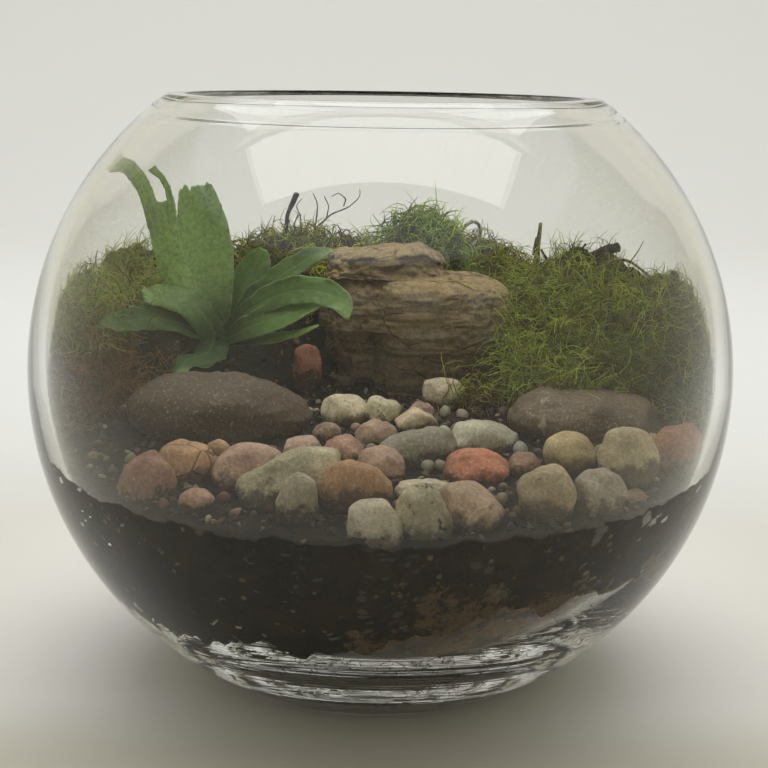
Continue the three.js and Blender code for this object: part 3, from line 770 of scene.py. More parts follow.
def rockMaterial():
    look = sandstone
    material, tree, shader, spot = startMaterial("layeredSandstone")
    place = spot.outputs["Object"]
    flat = addNode(tree, "Mapping", {"Vector": place, "Scale": (1, 1, 4)}).outputs[0]
    strata = noiseAt(tree, flat, 22, 6, 0.72, 0.8)
    fineStrata = noiseAt(tree, flat, 65, 6, 0.75, 0.6)
    patches = noiseAt(tree, place, 48, 5, 0.65)
    grain = noiseAt(tree, place, 1100, 4, 0.8)
    mottle = noiseAt(tree, place, 330, 5, 0.75)
    colour = mixed(tree, stepped(tree, patches, 0.4, 0.6), paint(look["grey"]), paint(look["brown"]))
    colour = overlaid(tree, colour, stepped(tree, strata, 0.46, 0.62), 0.8, paint(look["tan"]))
    colour = overlaid(tree, colour, stepped(tree, fineStrata, 0.4, 0.3), 0.35, paint(look["stainAndShade"]))
    # painted light: the upward faces of the upper rock are painted sunny, where light from above falls on
    # them
    up = alongAxis(tree, addNode(tree, "NewGeometry").outputs["Normal"], "Z")
    high = alongAxis(tree, place, "Z")
    lit = stepped(tree, plus(tree, up, times(tree, maths(tree, "SUBTRACT", patches, 0.5), 1.2)), 0.1, 0.7)
    colour = overlaid(tree, colour, lit, stepped(tree, high, 0.122, 0.132), paint(look["sunny"]))
    # painted shade darkens the lower rock; the same colour also marks real stains in its grain and mottle
    low = stepped(tree, plus(tree, high, times(tree, patches, 0.016)), 0.125, 0.108)
    for mask, strength in ((low, 0.35), (stepped(tree, grain, 0.6, 0.35), 0.35),
                           (stepped(tree, mottle, 0.56, 0.4), 0.4)):
        colour = overlaid(tree, colour, mask, strength, paint(look["stainAndShade"]))
    wide = addNode(tree, "Mapping", {"Vector": place, "Scale": (0.45, 0.45, 1)}).outputs[0]
    crack = times(tree, stepped(tree, netAt(tree, wide, 130), 0.05, 0.01), stepped(tree, patches, 0.44, 0.56))
    colour = overlaid(tree, colour, crack, 0.5, paint(look["joint"]))
    dressed(tree, shader, colour, plus(tree, times(tree, grain, 0.2), 0.75), 0.25)
    height = plus(tree, times(tree, fineStrata, 0.8), times(tree, grain, 0.45))
    height = maths(tree, "SUBTRACT", plus(tree, height, mottle), times(tree, crack, 0.6))
    bumped(tree, shader, plus(tree, height, patches), 0.8, 1.1 * mm)
    return material


def makeRock():
    points, faces = rockPoints()
    addPiece("sandstoneBlock", points, faces, rockMaterial(), "sandstone", ["sandstone_block"])
    print("sandstone made")


makeRock()

# Each blade of a leaf: the middle line from its base, widths along it, which way its upper side
# faces at its base and at its tip, and how far the rib stands out from its edges.
leaves = {
    "leaf_tall_left": {"torn": 0.9, "pale": 1, "blades": [
        ([(-62, 24, 113), (-68, 22, 123), (-74, 20.5, 133), (-77.5, 19, 141), (-79.5, 16.5, 150),
          (-80.6, 13, 160), (-81, 10.5, 168.5)],
         (4, 8, 10.5, 11, 10.8, 11.2, 10.5), (0.3, -0.95, 0), (0.15, -0.9, -0.35), 2.5),
        ([(-83.6, 13, 158), (-84.6, 10.5, 166), (-86, 8, 172), (-87.8, 4.5, 177), (-90, 0.5, 181),
          (-93, -4, 183.6), (-97.5, -8, 182.6)],
         (5, 5.6, 5.6, 6, 6.6, 6.6, 4.5), (0.15, -0.9, -0.35), (0.5, -0.62, 0.5), 1),
        ([(-76.6, 12, 160), (-76.9, 10, 168), (-78, 8, 173.6), (-79.8, 6, 177.5), (-82, 4, 179.6),
          (-83, 3.4, 181)],
         (3.4, 2.6, 2.3, 2.3, 2.8, 3.4), (0.3, -0.92, -0.2), (0.3, -0.8, -0.5), 0.2)]},
    "leaf_broad": {"torn": 2.3, "pale": 0.8, "blades": [
        ([(-61.5, 27, 113), (-64, 29, 123), (-66.2, 29.5, 134), (-66.8, 30.5, 147), (-68.4, 31, 157),
          (-70.2, 30.5, 165), (-71, 29.5, 172)],
         (4, 13, 19.5, 20.6, 19.4, 17, 13), (0.2, -0.95, 0.2), (0.35, -0.92, 0), -5)]},
    "leaf_short_back": {"torn": 0, "blades": [
        ([(-61, 33, 114), (-55, 37, 127), (-50.5, 41, 138), (-47.2, 43, 144), (-46, 43.5, 147)],
         (4, 10, 12.5, 9.5, 3), (0.3, -0.93, 0.1), (0.1, -0.97, 0.2), -4)]},
    "leaf_upper_right": {"torn": 0, "dull": 0.35, "blades": [
        ([(-59, 28, 117), (-48, 28, 131), (-36, 27.5, 141), (-27, 27, 146.5), (-18.5, 25, 149.5)],
         (6, 10, 10.5, 9, 1.5), (-0.55, -0.68, 0.5), (-0.4, -0.72, 0.55), -0.8)]},
    "leaf_big_right": {"torn": 0, "dull": 0.2, "blades": [
        ([(-61, 22, 115), (-51, 16.5, 126.5), (-41.5, 12.5, 132.8), (-32, 8, 136.6),
          (-24, 3.5, 137.4), (-17, 0, 136),
          (-12.5, -2.5, 132), (-12.2, -3.5, 128)],
         (6, 9, 11.5, 11.5, 11.5, 10.5, 7.5, 1.2), (-0.67, -0.6, 0.4), (0.3, -0.76, 0.57), -0.8)]},
    "leaf_right_low": {"torn": 0, "blades": [
        ([(-60, 18, 115), (-51, 11.5, 121.2), (-42, 7.5, 125.4), (-33, 4.5, 128.8), (-27, 2.5, 130.8),
          (-22, 0.5, 132)],
         (5, 10.5, 14, 12.5, 8, 1.2), (-0.66, -0.56, 0.5), (-0.4, -0.5, 0.76), -1)]},
    "leaf_right_small": {"torn": 0, "blades": [
        ([(-57, 16, 115), (-48, 9, 117.6), (-38.5, 4, 119.4), (-30, 0, 122), (-22.6, -1.5, 125.4)],
         (3, 5, 5, 3.4, 1), (-0.55, -0.55, 0.62), (-0.45, -0.5, 0.74), -0.3)]},
    "leaf_left_folded": {"torn": 1.1, "pale": 0.4, "blades": [
        ([(-62.5, 19, 117), (-67, 17, 125.5), (-72, 15, 130.6), (-78, 13, 133), (-83.8, 10.8, 134),
          (-88, 9.4, 133.6)],
         (11, 14.5, 14, 13.5, 11.5, 9), (0.68, -0.62, 0.4), (0.1, -0.42, 0.9), 1.4)]},
    "leaf_left_long": {"torn": 0, "dull": 0.2, "blades": [
        ([(-65, 17, 117), (-74, 11, 123), (-82.5, 6, 126), (-90.5, 1, 126), (-96.5, -3, 125.8),
          (-100.5, -5, 125.6)],
         (6, 9, 10, 10, 8.5, 2), (0.68, -0.56, 0.48), (0.36, -0.69, 0.63), -0.8)]},
    "leaf_front": {"torn": 0.8, "dull": 0.85, "blades": [
        ([(-62.5, 19, 116), (-62.4, 10, 114.6), (-63, 3, 112.8), (-66, -3, 112.6),
          (-69.5, -8.5, 112.4), (-70.6, -13, 111.2), (-69.8, -17, 108.8)],
         (10, 12, 13, 13, 11.5, 8, 2), (0, -0.35, 0.94), (-0.3, -0.75, 0.6), 1.6)]},
}
blade = {
    "along": 56, "across": 16, "thickness": 0.75, "edge": 0.22, "ripple": 0.8, "crease": 0.2,
    "rib": 0.32, "ribWidth": 0.7, "tearRows": 9, "tear": 1.6, "nicks": 0.28,
    "dark": 0x2E4C18, "light": 0x80A84C, "pale": 0xD4F2A8, "vein": 0xA4C878, "brown": 0x6E6A34,
    "deep": 0x16300C, "through": 0xBCE060, "throughShare": 0.42,
}


# Left edge, rib and right edge at each point of a blade's middle line.
def bladeStations(rib, widths, facingBase, facingTip, fold):
    rib = np.array(rib, float)
    ahead = np.gradient(rib, axis=0)
    share = np.linspace(0, 1, len(rib))[:, None]
    facing = (1 - share) * np.array(facingBase) + share * np.array(facingTip)
    side = np.cross(ahead, facing)
    side /= np.linalg.norm(side, axis=1)[:, None]
    up = np.cross(side, ahead)
    up /= np.linalg.norm(up, axis=1)[:, None]
    half = np.array(widths)[:, None] / 2
    lift = up * fold * half / half.max()
    return np.stack([rib - side * half - lift / 2, rib + lift / 2, rib + side * half - lift / 2], axis=1)


# The sheet of a blade: smoothed stations along, a curve through the three points across.
def bladeSheet(stations, torn, seed):
    stations = np.array(stations, float)
    steps = np.linalg.norm(np.diff(stations[:, 1], axis=0), axis=1)
    at = np.concatenate([[0], np.cumsum(steps)])
    wanted = np.linspace(0, at[-1], blade["along"])
    lines = np.stack([[np.interp(wanted, at, stations[:, k, axis]) for axis in range(3)] for k in range(3)])
    lines = lines.transpose(0, 2, 1)
    for _ in range(4):
        lines[:, 1:-1] = (lines[:, :-2] + 2 * lines[:, 1:-1] + lines[:, 2:]) / 4
    share = np.linspace(-1, 1, blade["across"] + 1)
    weights = np.stack([(share ** 2 - share) / 2, 1 - share ** 2, (share ** 2 + share) / 2])
    sheet = np.einsum("kj,kia->ija", weights, lines)
    wave = Vector((seed * 3.3, seed * 1.7, 0))
    side = lines[2] - lines[0]
    width = np.linalg.norm(side, axis=1)
    forward = np.gradient(lines[1], axis=0)
    up = np.cross(side, forward)
    up /= np.linalg.norm(up, axis=1)[:, None] + 1e-9
    for i in range(blade["along"]):
        for j, s in enumerate(share):
            spot = Vector((wanted[i] / 5, s * 1.2, 0)) + wave
            ripple = noise.noise(spot * 1.3) * blade["ripple"] * s * s * min(width[i] / 6, 1.5)
            ripple += noise.noise(spot * 2.7) * blade["crease"]
            # the rib is a groove that runs out towards the tip
            groove = math.exp(-(s * width[i] / 2 / blade["ribWidth"]) ** 2)
            ripple -= blade["rib"] * groove * (1 - i / blade["along"])
            sheet[i, j] += up[i] * ripple
    if torn:
        tearTip(sheet, forward, up, share, torn, seed)
    nicks = np.array([noise.fractal(Vector((w / 1.6, seed, 9)), 1, 2, 3) for w in wanted]) * blade["nicks"]
    sheet[:, 0] -= side / (width[:, None] + 1e-9) * nicks[:, None]
    sheet[:, -1] += side / (width[:, None] + 1e-9) * nicks[::-1, None]
    return sheet, up


# A ragged end: the last rows are drawn out or held back, and crumpled.
def tearTip(sheet, forward, up, share, torn, seed):
    ahead = forward / (np.linalg.norm(forward, axis=1)[:, None] + 1e-9)
    rows, along = blade["tearRows"], blade["along"]
    for j, s in enumerate(share):
        cut = noise.fractal(Vector((s * 2.9, seed, 1)), 1, 2, 3) * torn * blade["tear"]
        for i in range(along - rows, along):
            sheet[i, j] += ahead[-6] * cut * (i - along + rows + 1) / rows
            sheet[i, j] += up[-6] * noise.noise(Vector((s * 2.4, i / 3, seed))) * torn * 0.5


def bladeSolid(stations, torn, seed):
    sheet, up = bladeSheet(stations, torn, seed)
    rows, columns = sheet.shape[:2]
    share = np.linspace(-1, 1, columns)
    thick = blade["edge"] + (blade["thickness"] - blade["edge"]) * (1 - share ** 4)
    thin = np.linspace(1, 0.45, rows)
    lift = up[:, None, :] * (thick[None, :] * thin[:, None])[:, :, None] / 2
    front, back = (sheet + lift).reshape(-1, 3), (sheet - lift).reshape(-1, 3)
    faces = sheetFaces(rows, columns, closed=False)
    under = [tuple(v + rows * columns for v in reversed(f)) for f in faces]
    # the rim runs once round the sheet
    rim = [j for j in range(columns)] + [i * columns + columns - 1 for i in range(1, rows)]
    rim += [(rows - 1) * columns + j for j in range(columns - 2, -1, -1)]
    rim += [i * columns for i in range(rows - 2, 0, -1)]
    below = rows * columns
    wall = [(rim[k], rim[k - 1], rim[k - 1] + below, rim[k] + below) for k in range(len(rim))]
    points = np.vstack([front, back])
    fromRib = np.tile(np.tile(np.abs(share), rows), 2)
    fromBase = np.tile(np.repeat(np.linspace(0, 1, rows), columns), 2)
    return points * mm, faces + under + wall, fromRib, fromBase


def paintPoints(piece, name, values):
    layer = piece.data.color_attributes.new(name, "FLOAT_COLOR", "POINT")
    colours = np.column_stack([values, np.ones(len(values))])
    layer.data.foreach_set("color", colours.astype(np.float32).ravel())


# Pale is how light the whole leaf is, the other share how far the whole leaf is darkened as painted shade,
# tint how much its tip pales.
def leafMaterial(name, tint, pale=0, dull=0):
    material, tree, shader, spot = startMaterial(name)
    place = spot.outputs["Object"]
    dark, light, vein = paint(blade["dark"]), paint(blade["pale"]), paint(blade["vein"])
    where = addNode(tree, "Attribute", attribute_name="bladePlace").outputs["Color"]
    parts = addNode(tree, "SeparateColor", {"Color": where})
    fromRib, fromBase = parts.outputs["Red"], parts.outputs["Green"]
    fine = noiseAt(tree, place, 700, 4, 0.7)
    share = plus(tree, times(tree, fromBase, 0.5), times(tree, noiseAt(tree, place, 110, 4, 0.6), 0.6))
    colour = mixed(tree, stepped(tree, share, 0.25, 0.8), dark, paint(blade["light"]))
    colour = mixed(tree, pale, colour, light)
    # painted shade over the whole leaf
    colour = mixed(tree, dull, colour, dark)
    colour = overlaid(tree, colour, stepped(tree, fromBase, 0.82, 1.0), tint, light)
    # side veins slant away from the rib
    slant = addNode(tree, "CombineXYZ", {"X": maths(tree, "SUBTRACT", times(tree, fromBase, 2.2), fromRib)})
    streak = addNode(tree, "TexWave", {"Vector": slant.outputs[0], "Scale": 7, "Distortion": 1.5,
                                       "Detail": 2, "Detail Scale": 2}).outputs["Fac"]
    sideVein = stepped(tree, streak, 0.82, 1)
    colour = overlaid(tree, colour, sideVein, 0.16, vein)
    colour = overlaid(tree, colour, stepped(tree, fine, 0.4, 0.7), 0.4, dark)
    colour = overlaid(tree, colour, stepped(tree, noiseAt(tree, place, 190, 5, 0.65), 0.5, 0.68), 0.3, dark)
    # painted shade near the crown, where the leaves cross over it
    crownDistance = addNode(tree, "VectorMath", {"Vector": place, 1: Vector(crown["at"]) * mm}, operation="DISTANCE")
    near = stepped(tree, crownDistance.outputs["Value"], 0.03, 0.008)
    colour = overlaid(tree, colour, near, 0.75, paint(blade["deep"]))
    colour = overlaid(tree, colour, stepped(tree, fromRib, 0.09, 0.03), 0.25, vein)
    colour = overlaid(tree, colour, stepped(tree, fromRib, 0.955, 1), 0.45, light)
    speck = stepped(tree, noiseAt(tree, place, 330, 3), 0.66, 0.72)
    colour = overlaid(tree, colour, speck, 0.35, paint(blade["brown"]))
    dressed(tree, shader, colour, plus(tree, times(tree, fine, 0.2), 0.36))
    bumped(tree, shader, plus(tree, times(tree, sideVein, 0.6), times(tree, fine, 0.5)), 0.35, 0.35 * mm)
    letThrough(tree, shader, mixed(tree, 0.5, colour, paint(blade["through"])), blade["throughShare"])
    return material


def makeLeaves():
    for seed, (node, look) in enumerate(leaves.items(), 1):
        parts = []
        for i, shape in enumerate(look["blades"]):
            parts.append(bladeSolid(bladeStations(*shape), look["torn"] / (1 + i), seed + 20 * i))
        points, faces = joinedParts([part[:2] for part in parts])
        green = leafMaterial(pieceName(node) + "Green", 0.75, look.get("pale", 0.06), look.get("dull", 0))
        piece = addPiece(pieceName(node), points, faces, green, "leaf", [node])
        fromRib = np.concatenate([part[2] for part in parts])
        fromBase = np.concatenate([part[3] for part in parts])
        paintPoints(piece, "bladePlace", np.column_stack([fromRib, fromBase, fromBase]))
    print("leaves made")


crown = {"at": (-60.5, 24, 112), "half": (5.2, 5.2, 7.5), "stubs": 7, "reach": 5.5, "rise": 11}


# The heart that the leaves spring from: a rough core in short clasping leaf bases.
def makeCrown():
    ways, faces = cubeBall(14)
    points = ways * crown["half"] * (1 + 0.12 * roughness(ways, 0.5, 61)[:, None]) + crown["at"]
    parts, edges, bases = [(points * mm, faces)], [np.full(len(points), 0.5)], [np.zeros(len(points))]
    for k in range(crown["stubs"]):
        turn = 2 * math.pi * (k + 0.3 * (k % 2)) / crown["stubs"]
        out = np.array((math.cos(turn), math.sin(turn), 0))
        side = np.array((-math.sin(turn), math.cos(turn), 0))
        stations = []
        for share, width in ((0, 3.2), (0.5, 3.4), (0.85, 2.4), (1, 1)):
            spot = np.array(crown["at"]) + out * (3.2 + crown["reach"] * share ** 1.6 * (0.7 + 0.3 * (k % 3)))
            spot[2] += -5 + crown["rise"] * share * (0.8 + 0.2 * (k % 2))
            inward = out * -1.1
            stations.append([spot - side * width + inward, spot, spot + side * width + inward])
        stub = bladeSolid(stations, 0.3, 70 + k)
        parts.append(stub[:2])
        edges.append(stub[2])
        bases.append(stub[3] * 0.4)
    points, faces = joinedParts(parts)
    green = leafMaterial("crownGreen", 0.2)
    piece = addPiece("plantCrown", points, faces, green, "leaf_pale", ["plant_crown"])
    fromRib, fromBase = np.concatenate(edges), np.concatenate(bases)
    paintPoints(piece, "bladePlace", np.column_stack([fromRib, fromBase, fromBase]))
    print("crown made")


makeLeaves()
makeCrown()


# A closed round stem along a path, with knots.
def stemMesh(path, radii, sides=8, steps=24, seed=0, rough=0.12, knots=0):
    path = np.array(path, float)
    lengths = np.concatenate([[0], np.cumsum(np.linalg.norm(np.diff(path, axis=0), axis=1))])
    wanted = np.linspace(0, lengths[-1], steps)
    line = np.column_stack([np.interp(wanted, lengths, path[:, k]) for k in range(3)])
    for _ in range(max(steps // 6, 1)):
        line[1:-1] = (line[:-2] + 2 * line[1:-1] + line[2:]) / 4
    widths = np.interp(wanted, np.linspace(0, lengths[-1], len(radii)), radii)
    forward = np.gradient(line, axis=0)
    forward /= np.linalg.norm(forward, axis=1)[:, None] + 1e-9
    side = np.cross(forward[0], (0.3, 0.5, 0.8))
    side /= np.linalg.norm(side)
    points = []
    for i in range(steps):
        side = side - forward[i] * side.dot(forward[i])
        side /= np.linalg.norm(side)
        other = np.cross(forward[i], side)
        knot = 1 + knots * max(noise.noise(Vector((wanted[i] / 3.2, seed, 4))), 0)
        for k in range(sides):
            turn = 2 * math.pi * k / sides
            spot = Vector((wanted[i] / 3, math.cos(turn) * 2, math.sin(turn) * 2 + seed))
            bark = noise.fractal(spot, 1, 2, 2)
            r = widths[i] * knot * (1 + rough * bark)
            points.append(line[i] + (side * math.cos(turn) + other * math.sin(turn)) * r)
    faces = sheetFaces(steps, sides)
    points += [line[0] - forward[0] * widths[0] * 0.3, line[-1] + forward[-1] * widths[-1] * 0.5]
    last = (steps - 1) * sides
    for k in range(sides):
        n = (k + 1) % sides
        faces.append((n, k, steps * sides))
        faces.append((last + k, last + n, steps * sides + 1))
    return np.array(points) * mm, faces


# Each stem is its path, its radii along the path and how knotty it is.
twigs = {
    "twig_back": {"colour": 0x3B352C, "stems": [
        ([(-41, 68, 138), (-39.5, 70, 150), (-38.6, 71, 158), (-35, 73, 166)], [1.1, 0.8, 0.8, 1.15], 0.2),
        ([(-39.3, 70.3, 152), (-38, 71, 155.5)], [0.5, 0.3], 0)]},
    "twig_knobbly": {"colour": 0x4A4136, "stems": [
        ([(58, 55, 134), (64, 54, 140), (74, 53, 143.5), (83, 51, 145), (87, 50, 148), (93, 46, 149.5)],
         [2.4, 2.1, 1.8, 1.5, 1.3, 1.9], 0.5),
        ([(80, 52, 145), (79.5, 52, 148.5), (80.5, 51.5, 150)], [0.6, 0.4, 0.35], 0),
        ([(66, 54, 142), (63, 55, 147)], [0.7, 0.4], 0)]},
    "twig_stub": {"colour": 0x463D33, "stems": [
        ([(99, 14, 127), (104.5, 12, 136), (108, 10, 143), (109, 10, 145.5)], [1.1, 1.2, 1.3, 1.7], 0.3)]},
    "stem_arch": {"colour": 0x4B4A34, "stems": [
        ([(95, 2, 130), (98.5, 0, 138), (102, -2, 141.4), (108, -5, 139.6), (113, -11, 131),
          (114.5, -17, 120), (114, -22, 109)],
         [0.9, 1.0, 1.0, 1.0, 0.9, 0.8, 0.6], 0.15)]},
}
# Thin dead stems among the moss, and the pale curled tendril over the rock.
looseStems = {
    "colour": 0xB4B068,
    "stems": [
        ([(-29, 72, 146), (-27, 73, 156), (-26.6, 74, 162), (-28.5, 74, 166)], [0.4, 0.36, 0.3, 0.2]),
        ([(-27.5, 73, 152), (-21, 73, 158), (-14, 74, 160.5), (-9, 75, 165),
          (-9.6, 75, 168)], [0.4, 0.36, 0.3, 0.25, 0.15]),
        ([(-16, 74, 161), (-15, 74, 164), (-18, 73, 166.5), (-21, 73, 165)], [0.3, 0.28, 0.22, 0.15]),
        ([(-24, 74, 165), (-22, 74, 161), (-23, 73, 156)], [0.2, 0.25, 0.3]),
        ([(-33, 73, 148), (-33.5, 73, 157), (-35.5, 73, 161), (-33, 72, 164)], [0.35, 0.3, 0.25, 0.15]),
        ([(62, 60, 140), (62.4, 60, 150), (63, 60, 157)], [1.2, 1.0, 0.7]),
        ([(60.5, 60, 144), (61.5, 60, 151)], [0.6, 0.45]),
        ([(86, 42, 141), (90, 40, 146), (96, 37, 145.6), (102, 33, 141.6),
          (107.5, 30, 136)], [0.6, 0.6, 0.55, 0.5, 0.4]),
        ([(96, 37, 145), (99, 35, 150), (101, 35, 154)], [0.3, 0.25, 0.15]),
        ([(-105, 4, 134), (-103, 6, 142), (-105, 6, 147), (-104, 6, 151)], [0.35, 0.3, 0.25, 0.15]),
        ([(-104, 5, 138), (-107, 3, 143), (-108, 2, 147)], [0.25, 0.22, 0.15]),
    ],
}
tendril = {
    "colour": 0xEEE6C8,
    "path": [
        (31, 60, 140), (29.5, 60, 145), (30, 60, 150), (33, 61, 155.5), (37, 62, 157.5), (40, 62, 154),
        (38.6, 62, 149), (34, 61.5, 145), (30, 61, 142)],
    "radii": [0.7, 0.75, 0.8, 0.8, 0.75, 0.7, 0.7, 0.6, 0.5],
}
bark = {"crevice": 0x1E1812, "lichen": 0x8E8468}


def barkMaterial(name, colour):
    material, tree, shader, spot = startMaterial(name)
    place = spot.outputs["Object"]
    long = addNode(tree, "Mapping", {"Vector": place, "Scale": (1, 1, 0.3)}).outputs[0]
    grain = noiseAt(tree, long, 900, 5, 0.7)
    patch = noiseAt(tree, place, 260, 3)
    shade = mixed(tree, stepped(tree, grain, 0.35, 0.65), paint(bark["crevice"]), paint(colour))
    shade = overlaid(tree, shade, stepped(tree, patch, 0.55, 0.7), 0.5, paint(bark["lichen"]))
    dressed(tree, shader, shade, 0.8)
    bumped(tree, shader, grain, 0.7, 0.5 * mm)
    return material


def makeTwigs():
    for seed, (node, look) in enumerate(twigs.items(), 1):
        parts = []
        for i, (path, radii, knots) in enumerate(look["stems"]):
            parts.append(stemMesh(path, radii, 12, 44, seed + i, 0.22, knots))
        name = pieceName(node)
        addPiece(name, *joinedParts(parts), barkMaterial(name + "Bark", look["colour"]), "twig", [node])
    parts = [stemMesh(path, radii, 7, 26, 30 + i) for i, (path, radii) in enumerate(looseStems["stems"])]
    dead = barkMaterial("looseStemBark", looseStems["colour"])
    addPiece("looseStems", *joinedParts(parts), dead, "twig")
    points, faces = stemMesh(tendril["path"], tendril["radii"], 10, 60, 51)
    addPiece("tendrilLoop", points, faces, barkMaterial("tendrilSkin", tendril["colour"]), "twig")
    print("twigs made")


makeTwigs()

# Free strands stand out of a cushion and branch, lying ones run along it, and spills are tufts that
# hang beside it, each a middle, a spread and a number. Colours go from the root to the tip of a
# strand, some strands take the odd colour, and all are brown below a height. Sink and reach are how
# far the cushion goes in under its free strands and out to the glass.
moss = {
    "moss_back": {
        "seed": 41, "free": 1450, "lying": 900, "length": (9, 21), "radius": 0.38, "branches": 2,
        "curl": 5.4, "rise": 0.6, "lean": 1.0, "sink": 4, "lump": 2.4, "reach": 1, "under": 0xA09C48,
        "root": 0x86792C, "middle": 0xBCC638, "tip": 0xECF060, "odd": 0xB88C44, "oddShare": 0.2},
    "moss_tuft": {
        "seed": 42, "free": 620, "lying": 220, "length": (12, 25), "radius": 0.36, "branches": 2,
        "curl": 4.2, "rise": 1.0, "lean": 0.5, "sink": 5, "lump": 2.0, "reach": 0, "under": 0x929E46,
        "root": 0x747C30, "middle": 0xAAC448, "tip": 0xDCEE74, "odd": 0xA89450, "oddShare": 0.12},
    "moss_right": {
        "seed": 43, "free": 1000, "lying": 1900, "length": (8, 19), "radius": 0.21, "branches": 1,
        "curl": 3.0, "rise": 0.15, "lean": 0.9, "sink": 6, "lump": 5, "reach": 14, "under": 0xB6C050,
        "root": 0x9CA03C, "middle": 0xCCE04C, "tip": 0xF8FF84, "odd": 0xB89C5C, "oddShare": 0.12,
        "brownBelow": 100,
        "spills": [((36, -1, 99), (9, 4, 3.5), 260), ((49, 5, 114), (2.5, 4, 11), 240),
                   ((60, -8, 108), (9, 4, 5), 160)]},
    # the left cushion's colours are painted much paler than the others', as painted light for the light that
    # falls on it from the side, and its depth keeps its painted shade light
    "moss_left": {
        "seed": 44, "free": 1100, "lying": 2000, "length": (8, 19), "radius": 0.22, "branches": 1,
        "curl": 3.2, "rise": 0.1, "lean": 0.9, "sink": 10, "lump": 4.5, "reach": 14, "under": 0xE8F080,
        "root": 0xB8C450, "middle": 0xE8FC74, "tip": 0xFCFFC0, "odd": 0xC8944C, "oddShare": 0.14,
        "brownBelow": 120, "depth": 0.3,
        "spills": [((-98, 3, 135), (6, 5, 3), 90), ((-93, -14, 105), (9, 7, 6), 240)]},
}
# what every cushion has unless its own row says otherwise
anyMoss = {
    "brown": 0x8A6C42, "deep": 0x2A2816, "bright": 0xCCCE6A, "dim": 0x2A2C16, "depth": 0.7,
    "throughShare": 0.5, "brownBelow": 0, "spills": [],
}


# A node's own surface, welded and split into four as often as asked.
def refined(node, rounds):
    mesh = frame["nodes"][node].data
    mesh.calc_loop_triangles()
    raw = np.array([v.co[:] for v in mesh.vertices])
    cells = np.round(raw / 1e-5).astype(int)
    _, first, back = np.unique(cells, axis=0, return_index=True, return_inverse=True)
    points = raw[first]
    faces = back.ravel()[np.array([t.vertices[:] for t in mesh.loop_triangles])]
    faces = faces[(faces[:, 0] != faces[:, 1]) & (faces[:, 1] != faces[:, 2]) & (faces[:, 0] != faces[:, 2])]
    for _ in range(rounds):
        edges = np.sort(np.vstack([faces[:, [0, 1]], faces[:, [1, 2]], faces[:, [2, 0]]]), axis=1)
        kept, where = np.unique(edges, axis=0, return_inverse=True)
        middle = where.ravel().reshape(3, -1) + len(points)
        points = np.vstack([points, points[kept].mean(1)])
        a, b, c = faces.T
        faces = np.vstack([np.column_stack(f) for f in (
            (a, middle[0], middle[2]), (b, middle[1], middle[0]), (c, middle[2], middle[1]), tuple(middle))])
    return points, faces


def faceNormals(points, faces):
    across = np.cross(points[faces[:, 1]] - points[faces[:, 0]], points[faces[:, 2]] - points[faces[:, 0]])
    size = np.linalg.norm(across, axis=1)
    return across / (size[:, None] + 1e-15), size / 2


def pointNormals(points, faces):
    normals, area = faceNormals(points, faces)
    sums = np.zeros_like(points)
    for k in range(3):
        np.add.at(sums, faces[:, k], normals * area[:, None])
    return sums / (np.linalg.norm(sums, axis=1)[:, None] + 1e-15)


# Points that come nearer to the glass than the gap are drawn in. Below zero they press into it.
def keptInside(points, gap):
    z = points[:, 2] / mm
    low = z < bowl["widest"]
    share = np.where(low, (bowl["widest"] - z) / cavityDepth, (z - bowl["widest"]) / cavityRise)
    wide = np.sqrt(np.maximum(1 - np.clip(share, 0, 1) ** 2, 0))
    flatFloor = bowl["floorFlat"]
    limit = np.where(low, flatFloor + (cavity - flatFloor) * wide, cavity * wide) - gap
    flat = np.hypot(points[:, 0], points[:, 1]) / mm
    squeeze = np.minimum(1, limit / np.maximum(flat, 1))
    points[:, 0] *= squeeze
    points[:, 1] *= squeeze
    return points


# A thin three-sided tube round each of many lines, closed at its root and its tip.
def tubesAlong(line, radii, dice):
    count, rings = line.shape[0], line.shape[1] - 1
    spin = dice.normal(size=(count, 3))
    forward = np.gradient(line, axis=1)
    forward /= np.linalg.norm(forward, axis=2)[:, :, None] + 1e-12
    side = np.cross(forward, spin[:, None, :])
    side /= np.linalg.norm(side, axis=2)[:, :, None] + 1e-12
    other = np.cross(forward, side)
    taper = np.linspace(1, 0.35, rings)[None, :, None]
    parts = []
    for k in range(3):
        turn = 2 * math.pi * k / 3
        out = side[:, :-1] * math.cos(turn) + other[:, :-1] * math.sin(turn)
        parts.append(line[:, :-1] + out * radii[:, None, None] * taper)
    body = np.stack(parts, axis=2).reshape(count, rings * 3, 3)
    points = np.concatenate([body, line[:, -1:]], axis=1)
    shape = []
    for i in range(rings - 1):
        for k in range(3):
            a, b = i * 3 + k, i * 3 + (k + 1) % 3
            shape += [(a, b, b + 3), (a, b + 3, a + 3)]
    last, tip = (rings - 1) * 3, rings * 3
    shape += [(last, last + 1, tip), (last + 1, last + 2, tip), (last + 2, last, tip), (2, 1, 0)]
    faces = np.array(shape)[None] + (np.arange(count) * (rings * 3 + 1))[:, None, None]
    along = np.concatenate([np.repeat(np.linspace(0, 0.9, rings), 3), [1]])
    return points.reshape(-1, 3), faces.reshape(-1, 3), np.tile(along, count)


# Strands that grow from a start along a way, curling as they go.
def strandTubes(starts, ways, lengths, radii, curl, droop, rings, dice):
    count = len(starts)
    spin = dice.normal(size=(count, 3))
    spin /= np.linalg.norm(spin, axis=1)[:, None]
    line, way = np.zeros((count, rings + 1, 3)), ways.copy()
    line[:, 0] = starts
    stride = lengths[:, None] / rings
    for i in range(rings):
        line[:, i + 1] = line[:, i] + way * stride
        way = way + np.cross(spin, way) * curl / rings + dice.normal(size=(count, 3)) * 0.25 * curl / rings
        way[:, 2] -= droop / rings
        way /= np.linalg.norm(way, axis=1)[:, None]
    line = keptInside(line.reshape(-1, 3), 0.12).reshape(count, rings + 1, 3)
    points, faces, along = tubesAlong(line, radii, dice)
    return points, faces, along, line
